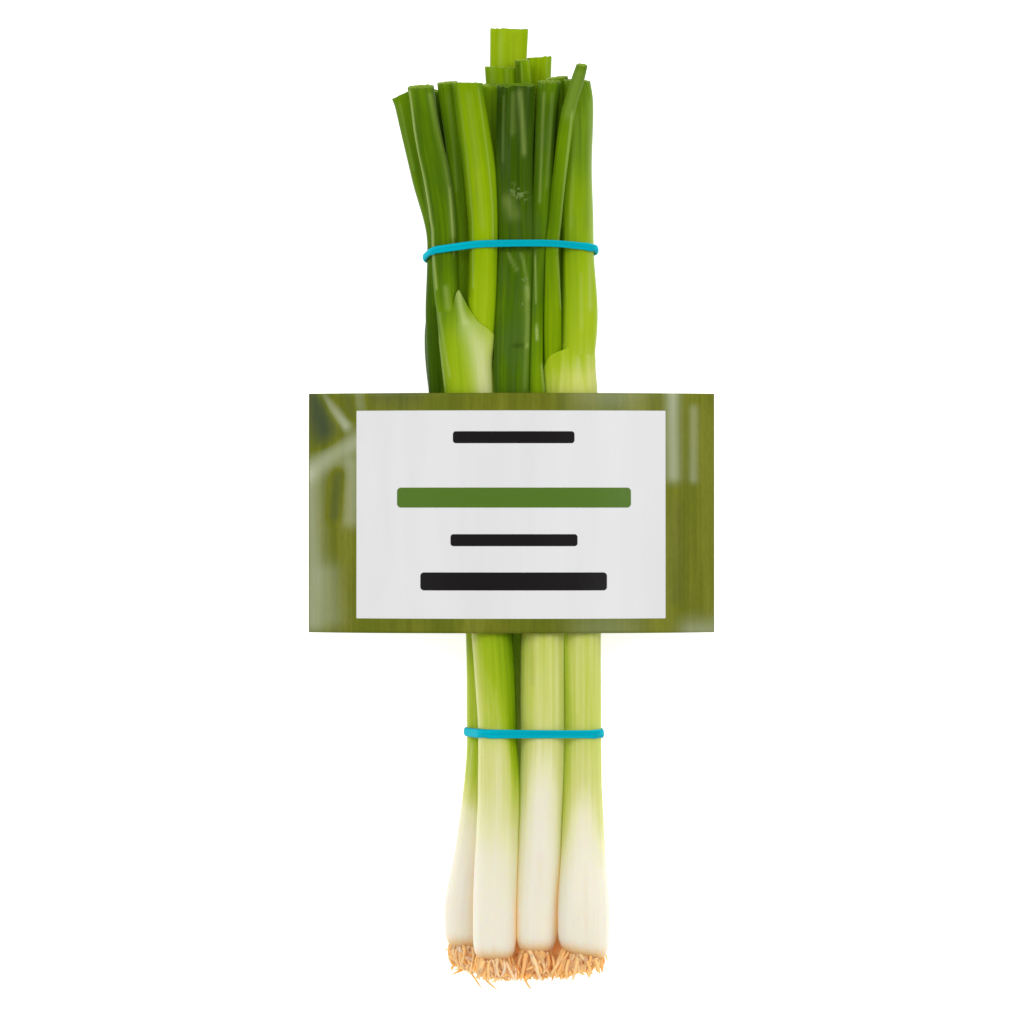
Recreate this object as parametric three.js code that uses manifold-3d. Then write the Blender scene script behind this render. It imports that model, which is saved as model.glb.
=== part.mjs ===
// A bunch of seven spring onions, tied with two rubber bands and wrapped in a printed film label,
// lying on a table.
//
// Three onions lie on top of four. Each is a shaft, from the bulb to the collar where the leaves
// part, with a tuft of trimmed roots at its foot and two or three hollow leaves, cut across at
// the top. Where two pieces press on each other the upper one keeps its form, and the lower one
// is dented to fit it.
//
// Sizes are in millimetres. +Y runs from the roots to the cut leaf ends and +Z is up. The origin
// is on the table, under the middle of the bunch's length and of the label's width.
import * as THREE from 'three';
import { mergeVertices } from 'three/addons/utils/BufferGeometryUtils.js';
import Module from 'manifold-3d';

const wasm = await Module();
wasm.setup();

// ---- Driving dimensions ----

const GAP = 0.3; // clear space between neighbouring pieces
const FACET_ERROR = 0.02; // facets that matter less than this are merged
const ROUNDNESS = 2.2; // exponent of every section: 2 is an ellipse, more is squarer

const SHAFT_SIDES = 16;
const SHAFT_STEP = 17; // longest stretch of shaft between two rings
const MOUTH_DROP = 2; // depth below a collar's lower edge at which its mouth starts to slant

const LEAF_SIDES = 12;
const LEAF_STEP = 14;
const LEAF_WALL = 0.9;
const LEAF_MOUTH = 14; // how far the hollow is open below a cut end
const END_SLANT = 0.35; // slope of a cut end: its lower lip runs further than its upper one

const BULB_BELLY = 9; // height above the root plate at which a bulb is widest
const ROOT_PLATE = 1.5;
const ROOT_PLATE_SHARE = 0.76; // of the bulb's width
const ROOT_LENGTH = 5.8;
const STRAY_LENGTH = 1.6; // times the length of the others
const STRAY_EVERY = 12; // one root in so many
const ROOT_WIDTH = 1.2;
const ROOT_SIDES = 3;
const ROOT_TAPER = 0.6; // width at the tip, as a share of the width at the start

// A band's height at the middle of the bunch, and how it slopes up from underside to top, tilts
// across the bunch, and bows down towards its sides.
const LOWER_BAND = { y: -66.9, slope: 0, tilt: -0.013, bow: 0 };
const UPPER_BAND = { y: 77.6, slope: 0.2, tilt: 0.03, bow: 0.002 };
const BAND_WIDTH = 2.5;
const BAND_THICKNESS = 1.3;
const BAND_CLEARANCE = 0.65;
const BAND_MIDDLE_Z = 12;
const BAND_SIDES = 6;
const BAND_STEPS = 48;

const LABEL_WIDTH = 121.8;
const LABEL_LENGTH = 71.7;
const LABEL_Y = -1.2; // middle of its length
const LABEL_FILM = 0.7;
const LABEL_FOLD_Z = 9; // height of the two folded side edges
const LABEL_TOP_Z = 24.6;
const LABEL_ARCH = 2.4; // exponent of the upper sheet: more is flatter on top
const LABEL_SIDE = 1.5; // exponent of the lower sheet's rise to the folds
const LABEL_FACETS = 24; // across each sheet
const LABEL_TAPER = 0.085; // the arch is this much higher at the bulb end, and lower at the other
const LABEL_REST = { x: 3, halfWidth: 17 }; // the strip of film that the bunch presses flat

// ---- Materials ----

const COLOURS = {
  shaft: 0xdfe3b0,
  leafLight: 0x86a80f,
  leafDark: 0x4b6f0a,
  roots: 0xdcb078,
  band: 0x0aa3bd,
  label: 0x6f7a24,
};
const matt = (color, roughness) => new THREE.MeshStandardMaterial({ color, roughness, metalness: 0 });
const shaftSkin = matt(COLOURS.shaft, 0.4);
const lightLeaf = matt(COLOURS.leafLight, 0.45);
const darkLeaf = matt(COLOURS.leafDark, 0.5);
const rootSkin = matt(COLOURS.roots, 0.8);
const bandRubber = matt(COLOURS.band, 0.55);
const labelFilm = matt(COLOURS.label, 0.25);

// ---- The onions ----

// One cross-section, upright across the bunch: where its middle is, how wide and how high it is,
// and how far it leans to the right, in degrees.
const at = (y, x, z, width, height = width, lean = 0) => ({ y, x, z, width, height, lean });

// The top three onions come first, then the bottom four. A collar is the mouth of the shaft, given
// by its height at its left edge, its middle and its right edge.
const ONIONS = {
  b: {
    foot: -134.6,
    shaft: [
      at(-122, -5.3, 18.0, 12.9),
      at(-99, -4.1, 18.4, 12.6),
      at(-67, -4.1, 18.9, 12.6),
      at(-37, -5.4, 17.8, 13, 12),
      at(35, -12.9, 15.4, 13.8, 10.6),
      at(56, -14.5, 15.6, 15.4, 10),
      at(60, -14.7, 15.6, 15.2, 9.8),
    ],
    collar: { left: 55, middle: 66, right: 53.5 },
    roots: 24,
    leaves: [
      {
        material: darkLeaf,
        stations: [
          at(46, -17.5, 15.4, 5.6, 7.2),
          at(66, -19.6, 15.6, 7.2, 7.2, -12),
          at(83, -20.2, 15.0, 8.0, 6.8, -16),
          at(99, -22.3, 14.6, 8.2, 6.6, -16),
          at(114, -25.4, 13.8, 8.0, 6.2, -12),
          at(126.6, -27.2, 13.0, 7.9, 5.8, -10),
        ],
      },
      {
        material: lightLeaf,
        stations: [
          at(46, -10.8, 16.2, 6.4, 6.2),
          at(62, -9.9, 17.0, 8.6, 6.4),
          at(82, -9.2, 17.9, 8.8, 6.2),
          at(99, -10.1, 18.1, 9.1, 6),
          at(127.4, -12.9, 17.4, 9.9, 5.4),
        ],
      },
      {
        material: lightLeaf,
        stations: [
          at(46, -13.9, 12.6, 5, 2.6),
          at(64, -14.9, 12.8, 5.6, 4.2),
          at(82, -15, 12.6, 6, 4.8),
          at(99, -15.9, 12.8, 6, 5),
          at(127.2, -19.2, 13.2, 6, 5.2),
        ],
      },
    ],
  },
  c: {
    foot: -132.4,
    shaft: [
      at(-122, 7.5, 17.6, 12.1),
      at(-99, 8.6, 18.0, 12.5),
      at(-67, 9.1, 18.6, 12.5),
      at(-37, 8.8, 17.6, 12.6, 12),
      at(12, 4.2, 16.8, 14, 10.6),
      at(18, 3.7, 16.8, 14, 10.4),
    ],
    collar: { left: 15, middle: 18, right: 21 },
    roots: 24,
    leaves: [
      {
        material: darkLeaf,
        stations: [
          at(8, 1.9, 17.1, 6.6, 7.4),
          at(35, -0.3, 16.7, 11.0, 7.6),
          at(57, -0.1, 17.0, 11.2, 7.2),
          at(79, 0.9, 17.5, 10.6, 7),
          at(99, 0.7, 17.6, 10.7, 7),
          at(126.8, 1.4, 17.2, 11.5, 6.4),
        ],
      },
      {
        material: darkLeaf,
        stations: [
          at(8, 7.4, 17, 3.2, 6.4),
          at(35, 7.7, 16.9, 4.8, 6.6),
          at(57, 7.6, 17.0, 4.6, 6.2),
          at(79, 8.6, 17.3, 4.8, 5.8),
          at(99, 9.4, 17.4, 5.5, 5.8),
          at(127.8, 11.2, 17.0, 7.1, 5.4),
        ],
      },
    ],
  },
  d: {
    foot: -134.3,
    shaft: [
      at(-122, 21.4, 20.2, 15.4),
      at(-99, 21.5, 19.0, 12.7),
      at(-67, 21.1, 18.2, 11.2),
      at(-37, 21.1, 17.2, 11.6),
      at(35, 17.9, 15.4, 15.6, 10),
      at(50, 17.7, 15.4, 15.4, 9.6),
    ],
    collar: { left: 46.5, middle: 50, right: 53 },
    roots: 26,
    leaves: [
      {
        material: lightLeaf,
        stations: [
          at(38, 19.9, 15.1, 8.8, 7.6),
          at(57, 20.0, 15.4, 10.2, 8),
          at(79, 19.8, 15.3, 9.8, 8),
          at(99, 19.6, 14.9, 9.9, 7.6),
          at(122, 20.1, 14.1, 9.2, 7),
          at(128.4, 19.9, 13.9, 8.2, 6.4),
        ],
      },
      {
        material: lightLeaf,
        stations: [
          at(38, 12.5, 16.2, 3.2, 4.6),
          at(57, 12.7, 17.4, 4.8, 5),
          at(79, 12.8, 18.5, 4.6, 4.8),
          at(99, 14.4, 19.3, 4.4, 4.4),
          at(118, 16.9, 19.8, 4.3, 4.1),
          at(128, 19.5, 19.9, 4.3, 3.9),
          at(132.8, 21.0, 19.8, 3.6, 3.4),
        ],
      },
    ],
  },
  a: {
    foot: -130.4,
    shaft: [
      at(-122, -13.4, 6.8, 13),
      at(-99, -10.5, 7.2, 11.4),
      at(-67, -8.1, 7.8, 10.4),
      at(-37, -8.4, 6.6, 10.5),
      at(2, -15, 6.3, 11.4, 10),
      at(8, -15.8, 6.3, 11.4, 9.8),
    ],
    collar: { left: 11, middle: 8, right: 5 },
    roots: 22,
    leaves: [
      {
        material: darkLeaf,
        stations: [
          at(-2, -14.6, 8.4, 7.4, 3.4),
          at(35, -21.2, 11.2, 7, 5.6),
          at(58, -22, 11, 6.8, 6),
          at(79, -22.0, 10.0, 6.4, 6.2, -20),
          at(99, -26.5, 9, 7, 5.8, -15),
          at(124, -31.9, 7.8, 7.8, 5.4, -10),
        ],
      },
      {
        material: darkLeaf,
        stations: [
          at(-2, -14.6, 4.2, 7.4, 3.2),
          at(35, -21, 4.9, 7.4, 6),
          at(52, -22.7, 5.3, 7, 6.2),
          at(79, -18.6, 5.8, 7.8, 5.6),
          at(122, -24, 3.4, 9, 5.4),
        ],
      },
    ],
  },
  e: {
    foot: -131.2,
    shaft: [
      at(-122, -0.5, 6.3, 12),
      at(-99, 0.9, 6.9, 11),
      at(-67, 1.9, 7.5, 9.9),
      at(-37, 1.6, 6.2, 9.9),
      at(35, -6.4, 5.9, 10.2, 9.2),
      at(44, -6.8, 5.9, 10.2, 9),
    ],
    collar: { left: 43, middle: 45, right: 43 },
    roots: 14,
    leaves: [
      {
        material: darkLeaf,
        stations: [
          at(36, -6.5, 7.9, 7, 2.6),
          at(79, -6.6, 12.1, 6.4, 4.8),
          at(99, -6.5, 12.8, 6.4, 4.8),
          at(127, -6, 13, 6.8, 4.6),
        ],
      },
      {
        material: lightLeaf,
        stations: [
          at(36, -4.3, 4.4, 3.6, 3.4),
          at(79, 0.4, 10.4, 7.4, 4.4),
          at(99, -1.2, 10.1, 8.2, 4.2),
          at(132.9, -3.3, 9, 9.2, 4),
        ],
      },
      {
        material: darkLeaf,
        stations: [
          at(36, -8.8, 4.4, 3.6, 3.4),
          at(79, -10.3, 6, 7.8, 6.2),
          at(124, -13.2, 3.7, 8.8, 5.8),
        ],
      },
    ],
  },
  f: {
    foot: -132,
    shaft: [
      at(-122, 11.9, 6.0, 11.5),
      at(-99, 11.9, 6.7, 10.7),
      at(-67, 11.9, 7.4, 9.8),
      at(-37, 11.9, 6.1, 9.8),
      at(35, 5.3, 5.9, 10.2, 9.2),
      at(42, 5.0, 5.9, 10.2, 9),
    ],
    collar: { left: 41, middle: 43, right: 41 },
    roots: 14,
    leaves: [
      {
        material: lightLeaf,
        stations: [
          at(34, 3, 4.4, 4, 3.6),
          at(79, -1.5, 5.5, 8.8, 5.6),
          at(99, -1.4, 4.9, 9.8, 5.4),
          at(143.8, -0.7, 3.4, 11, 5),
        ],
      },
      {
        material: lightLeaf,
        stations: [
          at(34, 7.7, 4.4, 3.4, 3.6),
          at(79, 7.2, 5.5, 7.6, 5.8),
          at(135.4, 8.2, 3.4, 7.2, 4.8),
        ],
      },
      {
        material: darkLeaf,
        stations: [
          at(34, 5.5, 7.9, 6.8, 2.4),
          at(79, 8.2, 11.4, 6.4, 4.8),
          at(99, 5.8, 11.7, 6, 4.6),
          at(134.6, 3.2, 11.2, 4.2, 3.8),
        ],
      },
    ],
  },
  g: {
    foot: -131.6,
    shaft: [
      at(-122, 23.2, 6, 11.4),
      at(-99, 22.6, 6.7, 10.5),
      at(-67, 21.7, 7.3, 9.6),
      at(-37, 21.6, 6.1, 9.7),
      at(35, 16.4, 5.9, 10.2, 9.2),
      at(40, 16.3, 5.9, 10.2, 9),
    ],
    collar: { left: 39, middle: 41, right: 39 },
    roots: 14,
    leaves: [
      {
        material: darkLeaf,
        stations: [
          at(32, 16.4, 7.9, 7, 2.6),
          at(79, 14.1, 11, 6.4, 4.6),
          at(129.4, 13.6, 10.9, 6.8, 4.8),
        ],
      },
      {
        material: darkLeaf,
        stations: [
          at(32, 16.4, 4.1, 7, 2.8),
          at(79, 16.8, 5.5, 9, 5.8),
          at(125, 18.8, 3.9, 10, 6),
        ],
      },
    ],
  },
};

// ---- Solids ----

function solidOf(geometry) {
  geometry.deleteAttribute('normal');
  geometry.deleteAttribute('uv');
  const merged = mergeVertices(geometry, 1e-4);
  return new wasm.Manifold(
    new wasm.Mesh({
      numProp: 3,
      vertProperties: merged.attributes.position.array,
      triVerts: new Uint32Array(merged.index.array),
    }),
  );
}

function meshOf(name, solid, material) {
  const { vertProperties, triVerts } = solid.getMesh();
  const geometry = new THREE.BufferGeometry()
    .setAttribute('position', new THREE.BufferAttribute(vertProperties, 3))
    .setIndex(new THREE.BufferAttribute(triVerts, 1));
  geometry.computeVertexNormals();
  const mesh = new THREE.Mesh(geometry, material);
  mesh.name = name;
  return mesh;
}

const largestBody = (solid) => solid.decompose().reduce((a, b) => (b.volume() > a.volume() ? b : a));

// One measure of a limb at height y: a smooth curve through its stations that never overshoots.
function measureAt(stations, y, key) {
  const last = stations.length - 1;
  if (y <= stations[0].y) return stations[0][key];
  if (y >= stations[last].y) return stations[last][key];
  const rise = (i) => (stations[i + 1][key] - stations[i][key]) / (stations[i + 1].y - stations[i].y);
  const slope = (i) => {
    if (i === 0) return rise(0);
    if (i === last) return rise(last - 1);
    const [before, after] = [rise(i - 1), rise(i)];
    return before * after <= 0 ? 0 : (2 * before * after) / (before + after);
  };
  const i = stations.findIndex((s) => s.y > y) - 1;
  const step = stations[i + 1].y - stations[i].y;
  const t = (y - stations[i].y) / step;
  const [from, to] = [stations[i][key], stations[i + 1][key]];
  return (
    from * (1 + 2 * t) * (1 - t) ** 2 +
    to * t * t * (3 - 2 * t) +
    step * (slope(i) * t * (1 - t) ** 2 - slope(i + 1) * t * t * (1 - t))
  );
}

function sectionAt(stations, y) {
  const measure = (key) => measureAt(stations, y, key);
  return {
    x: measure('x'),
    z: measure('z'),
    halfWidth: measure('width') / 2,
    halfHeight: measure('height') / 2,
    lean: THREE.MathUtils.degToRad(measure('lean')),
  };
}

// Heights of the rings from one end of a limb to the other, no further apart than step.
function ringHeights(from, to, step) {
  const count = Math.ceil((to - from) / step);
  return Array.from({ length: count + 1 }, (_, i) => from + ((to - from) * i) / count);
}

// A limb is a unit cylinder with each ring laid on the section at its height. endRise gives how
// far each point of the last ring runs on past it, from its place across and up the section.
function limb(stations, heights, { sides, grow = 0, endRise = () => 0 }) {
  const last = heights.length - 1;
  const geometry = new THREE.CylinderGeometry(1, 1, 1, sides, last);
  const position = geometry.attributes.position;
  const bow = (v) => Math.sign(v) * Math.abs(v) ** (2 / ROUNDNESS);
  for (let i = 0; i < position.count; i++) {
    const ring = Math.round((position.getY(i) + 0.5) * last);
    const section = sectionAt(stations, heights[ring]);
    const across = bow(position.getX(i)) * (section.halfWidth + grow);
    const up = bow(position.getZ(i)) * (section.halfHeight + grow);
    const dx = across * Math.cos(section.lean) + up * Math.sin(section.lean);
    const dz = up * Math.cos(section.lean) - across * Math.sin(section.lean);
    const rise = ring === last ? endRise(dx, dz) : 0;
    position.setXYZ(i, section.x + dx, heights[ring] + rise, section.z + dz);
  }
  return solidOf(geometry);
}

// A limb and the same limb grown by the gap, which cuts its neighbours clear of it.
function limbPair(stations, heights, options) {
  const longer = [...heights];
  longer[0] -= GAP;
  longer[longer.length - 1] += GAP;
  return [limb(stations, heights, options), limb(stations, longer, { ...options, grow: GAP })];
}

const placed = [];
function place(solid, grown) {
  const clear = placed.reduce((rest, other) => rest.subtract(other), solid);
  placed.push(grown);
  return largestBody(clear).simplify(FACET_ERROR);
}

// ---- Shafts, leaves and roots ----

// The bulb's rounded foot, below the first station of the shaft.
function bulbStations({ foot, shaft: [belly] }) {
  const share = (height, size) =>
    at(foot + height, belly.x, belly.z, belly.width * size, belly.height * size);
  return [share(0, 0.78), share(1, 0.89), share(2.6, 0.965), share(5.5, 1)];
}

function shaftOf(onion) {
  const bulb = bulbStations(onion);
  const stations = [...bulb, ...onion.shaft];
  const { left, middle, right } = onion.collar;
  const halfWidth = onion.shaft.at(-1).width / 2;
  const endRise = (dx) => ((dx < 0 ? middle - left : right - middle) * dx) / halfWidth;
  const heights = [
    ...bulb.map((s) => s.y),
    ...ringHeights(onion.foot + BULB_BELLY, Math.min(left, right) - MOUTH_DROP, SHAFT_STEP),
    middle,
  ];
  return limbPair(stations, heights, { sides: SHAFT_SIDES, endRise });
}

function leafOf({ stations }) {
  const [from, to] = [stations[0].y, stations.at(-1).y];
  const heights = ringHeights(from, to, LEAF_STEP);
  const endRise = (dx, dz) => -END_SLANT * dz;
  const [body, grown] = limbPair(stations, heights, { sides: LEAF_SIDES, endRise });
  const mouth = ringHeights(to - LEAF_MOUTH, to + 3, LEAF_MOUTH);
  const hollow = limb(stations, mouth, { sides: LEAF_SIDES, grow: -LEAF_WALL });
  return [body.subtract(hollow), grown];
}

// One trimmed root: a thin three-sided spike that starts at the point from, and is bent aside by
// out at its tip.
function rootSpike(from, out, length, width) {
  const geometry = new THREE.CylinderGeometry(width / 2, (width / 2) * ROOT_TAPER, length, ROOT_SIDES, 2);
  geometry.translate(0, -length / 2, 0);
  const position = geometry.attributes.position;
  for (let i = 0; i < position.count; i++) {
    const bend = (position.getY(i) / length) ** 2;
    position.setX(i, position.getX(i) + out.x * bend);
    position.setZ(i, position.getZ(i) + out.z * bend);
  }
  geometry.translate(from.x, from.y, from.z);
  return solidOf(geometry);
}

// The root plate, with its spikes spread by the golden angle and cut to uneven lengths. The tips
// stay inside the bulb's own width, clear of the next tuft.
function rootsOf(name, { foot, shaft: [belly], roots }) {
  const random = seeded(name.charCodeAt(0));
  const plateRadius = (belly.width * ROOT_PLATE_SHARE) / 2;
  const plate = new THREE.CylinderGeometry(plateRadius, plateRadius, ROOT_PLATE, SHAFT_SIDES / 2);
  plate.translate(belly.x, foot - GAP - ROOT_PLATE / 2, belly.z);
  const goldenAngle = Math.PI * (3 - Math.sqrt(5));
  const rootRadius = ROOT_WIDTH / 2;
  let tuft = solidOf(plate);
  for (let i = 0; i < roots; i++) {
    const share = Math.sqrt((i + 0.5) / roots);
    const [cos, sin] = [Math.cos(i * goldenAngle), Math.sin(i * goldenAngle)];
    const start = share * (plateRadius - rootRadius);
    const tip = share * (belly.width / 2 - rootRadius / 2) * (0.85 + 0.15 * random());
    const from = {
      x: belly.x + start * cos,
      y: foot - GAP - ROOT_PLATE * 0.4,
      z: belly.z + start * sin,
    };
    const out = { x: (tip - start) * cos, z: (tip - start) * sin };
    const trim = i % STRAY_EVERY === 5 ? STRAY_LENGTH : 0.75 + 0.4 * random();
    const length = ROOT_LENGTH * trim * (1.15 - 0.35 * share);
    tuft = tuft.add(rootSpike(from, out, length, ROOT_WIDTH * (0.8 + 0.3 * random())));
  }
  return largestBody(tuft).simplify(FACET_ERROR);
}

// A small repeatable random generator, so that every build gives the same roots.
function seeded(seed) {
  let state = seed * 7919;
  return () => {
    state = (state * 16807 + 11) % 2147483647;
    return state / 2147483647;
  };
}

// ---- Rubber bands ----

// The furthest point of the bunch in a direction across it, at height y.
function outermost(direction, y) {
  const power = ROUNDNESS / (ROUNDNESS - 1);
  let best = { reach: -Infinity };
  for (const onion of Object.values(ONIONS)) {
    for (const { stations } of [{ stations: onion.shaft }, ...onion.leaves]) {
      if (y < stations[0].y || y > stations.at(-1).y) continue;
      const s = sectionAt(stations, y);
      const across = direction.x * Math.cos(s.lean) - direction.z * Math.sin(s.lean);
      const up = direction.z * Math.cos(s.lean) + direction.x * Math.sin(s.lean);
      const [a, b] = [Math.abs(across * s.halfWidth) ** power, Math.abs(up * s.halfHeight) ** power];
      const size = (a + b) ** (1 / power);
      const reach = direction.x * s.x + direction.z * s.z + size;
      if (reach <= best.reach) continue;
      // The touching point, in the section's own axes and then across the bunch.
      const px = (Math.sign(across) * a) / (Math.abs(across) || 1) / size ** (power - 1);
      const pz = (Math.sign(up) * b) / (Math.abs(up) || 1) / size ** (power - 1);
      best = {
        reach,
        x: s.x + px * Math.cos(s.lean) + pz * Math.sin(s.lean),
        z: s.z + pz * Math.cos(s.lean) - px * Math.sin(s.lean),
      };
    }
  }
  return best;
}

// A band is a torus laid on the taut line round the bunch.
function bandOf({ y, slope, tilt, bow }) {
  const level = (edge) => y + slope * (edge.z - BAND_MIDDLE_Z) + tilt * edge.x - bow * edge.x ** 2;
  const geometry = new THREE.TorusGeometry(1, 0.25, BAND_SIDES, BAND_STEPS);
  const position = geometry.attributes.position;
  for (let i = 0; i < position.count; i++) {
    const turn = ((i % (BAND_STEPS + 1)) / BAND_STEPS) * 2 * Math.PI;
    const round = (Math.floor(i / (BAND_STEPS + 1)) / BAND_SIDES) * 2 * Math.PI;
    const out = { x: Math.cos(turn), z: Math.sin(turn) };
    const edge = outermost(out, level(outermost(out, y)));
    const offset = BAND_CLEARANCE + (BAND_THICKNESS / 2) * (1 + Math.cos(round));
    position.setXYZ(
      i,
      edge.x + out.x * offset,
      level(edge) - (BAND_WIDTH / 2) * Math.sin(round),
      edge.z + out.z * offset,
    );
  }
  return solidOf(geometry);
}

// ---- Film label ----

// The film's upper and lower sheets at a place across it: an arch over the bunch, and a sheet
// that lies flat under it and curves up to the folded edges.
function filmZ(x, halfWidth) {
  const share = Math.min(1, Math.abs(x) / halfWidth);
  const fromRest = Math.abs(x - LABEL_REST.x) - LABEL_REST.halfWidth;
  const span = halfWidth - Math.sign(x) * LABEL_REST.x - LABEL_REST.halfWidth;
  return {
    upper: LABEL_FOLD_Z + (LABEL_TOP_Z - LABEL_FOLD_Z) * (1 - share ** LABEL_ARCH),
    lower: LABEL_FOLD_Z * Math.max(0, fromRest / span) ** LABEL_SIDE,
  };
}

function filmOutline(halfWidth, inset) {
  const steps = LABEL_FACETS;
  const xs = Array.from({ length: steps + 1 }, (_, i) => halfWidth * (2 * (i / steps) - 1));
  const points = (sheet, sign) =>
    xs.map((x) => new THREE.Vector2(x, filmZ(x, halfWidth)[sheet] + sign * inset));
  const fold = (v) => v.setY(LABEL_FOLD_Z);
  const lower = points('lower', 1);
  const upper = points('upper', -1).reverse();
  fold(lower[0]);
  fold(lower[steps]);
  return [...lower, ...upper.slice(1, -1)];
}

function labelSolid() {
  const shape = new THREE.Shape(filmOutline(LABEL_WIDTH / 2, 0));
  shape.holes.push(new THREE.Path(filmOutline(LABEL_WIDTH / 2 - 2 * LABEL_FILM, LABEL_FILM)));
  const geometry = new THREE.ExtrudeGeometry(shape, { depth: LABEL_LENGTH, bevelEnabled: false });
  geometry.rotateX(Math.PI / 2).translate(0, LABEL_LENGTH / 2, 0);
  const position = geometry.attributes.position;
  for (let i = 0; i < position.count; i++) {
    const above = position.getZ(i) - LABEL_FOLD_Z;
    if (above <= 0) continue;
    const taper = 1 - (LABEL_TAPER * position.getY(i)) / (LABEL_LENGTH / 2);
    position.setZ(i, LABEL_FOLD_Z + above * taper);
  }
  geometry.translate(0, LABEL_Y, 0);
  return solidOf(geometry);
}

// ---- The bunch ----

const bunch = new THREE.Group();
const addPiece = (name, solid, material) => bunch.add(meshOf(name, solid, material));

function addLeaf(onion, number) {
  const leaf = ONIONS[onion].leaves[number - 1];
  addPiece(`onion_${onion}_leaf_${number}`, place(...leafOf(leaf)), leaf.material);
}

function addShaft(onion) {
  addPiece(`onion_${onion}_shaft`, place(...shaftOf(ONIONS[onion])), shaftSkin);
}

// What lies on top is placed first, because each piece gives way to the ones before it. A shaft
// follows its own leaves, so that they stand in sockets in its mouth.
const [TOP, BOTTOM] = [['d', 'c', 'b'], ['a', 'e', 'f', 'g']];
for (const [onion, number] of [['d', 2], ['c', 1], ['b', 2], ['b', 1], ['c', 2], ['d', 1]]) {
  addLeaf(onion, number);
}
addLeaf('b', 3);
TOP.forEach(addShaft);
for (const [onion, number] of [['a', 1], ['e', 1], ['f', 3], ['g', 1], ['e', 2]]) {
  addLeaf(onion, number);
}
for (const [onion, number] of [['a', 2], ['f', 1], ['f', 2], ['g', 2], ['e', 3]]) {
  addLeaf(onion, number);
}
BOTTOM.forEach(addShaft);
for (const [name, onion] of Object.entries(ONIONS)) {
  addPiece(`onion_${name}_roots`, rootsOf(name, onion), rootSkin);
}
addPiece('lower_band', bandOf(LOWER_BAND), bandRubber);
addPiece('upper_band', bandOf(UPPER_BAND), bandRubber);
addPiece('label_sleeve', labelSolid(), labelFilm);

export default bunch;
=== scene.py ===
"""A bunch of spring onions: seven onions, two rubber bands and a film label, on a pale table."""
import math

import bmesh
import bpy
import numpy as np
from mathutils import Matrix, Vector


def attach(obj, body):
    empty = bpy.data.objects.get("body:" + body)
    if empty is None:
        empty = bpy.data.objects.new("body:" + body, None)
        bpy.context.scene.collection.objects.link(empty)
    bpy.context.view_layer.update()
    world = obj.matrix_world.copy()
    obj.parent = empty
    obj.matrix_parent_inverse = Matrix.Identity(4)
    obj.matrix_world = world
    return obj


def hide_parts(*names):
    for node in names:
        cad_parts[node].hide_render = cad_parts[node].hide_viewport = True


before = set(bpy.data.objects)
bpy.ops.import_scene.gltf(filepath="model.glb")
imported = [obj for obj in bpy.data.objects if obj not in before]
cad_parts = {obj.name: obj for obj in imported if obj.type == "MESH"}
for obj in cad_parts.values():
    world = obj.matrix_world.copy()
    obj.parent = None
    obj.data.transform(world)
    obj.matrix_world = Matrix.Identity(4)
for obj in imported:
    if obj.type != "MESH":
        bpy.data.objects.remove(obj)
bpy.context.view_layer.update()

# ---- Onion shafts ----
# A shaft is the white bulb and the sheaths wrapped tightly above it, which end in a thin pale rim
# drawn over its own leaves. Its skin is waxy and finely ribbed, and turns from cream to green as it
# rises. Each is grown from one ring, extruded upwards and folded in at the rim.

# Places and sizes are in millimetres, and turn to metres where a mesh or a shader takes them.
MM = 0.001
ROUNDNESS = 2.2
TOUCH = 0.03
SHAFT_SIDES = 112
SHAFT_STEP = 1.5
SHAFT_RIBS = 0.035
SHAFT_SWELL = 0.10
FRONT_EDGE = -0.1

# The foot curls in over the roots, and is tan and even there. The belly is plump up to its shoulder,
# which is given by how far it lies below the middle of the bunch.
FOOT_CURL = 2.4
FOOT_CALM = 12
FOOT_TAN = (-0.6, 3.8)
BULB_FOOT = [(0, 0.70), (0.8, 0.80), (2, 0.89), (4, 0.965), (7, 1)]
BULB_PLUMP = 0.22
BULB_SHOULDER = (66, 84)

# The sheath has a thin wall that goes down inside it. Near its rim it is drawn tight over the
# leaves, and where it is tucked the rim lies just under their skin.
SHEATH_WALL = 0.22
SHEATH_DEPTH = 9
SHEATH_FIT = 13
SHEATH_SLACK = 0.08
SHEATH_INSIDE = 0.1
RIM_TAUT = 2
RIM_TUCK = 0.65
TUCK_DEPTH = 5
RIM_NICKS = 0.15
RIM_FELT = 4
INNER_RINGS = 7
REACH_DIRECTIONS = 90

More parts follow.
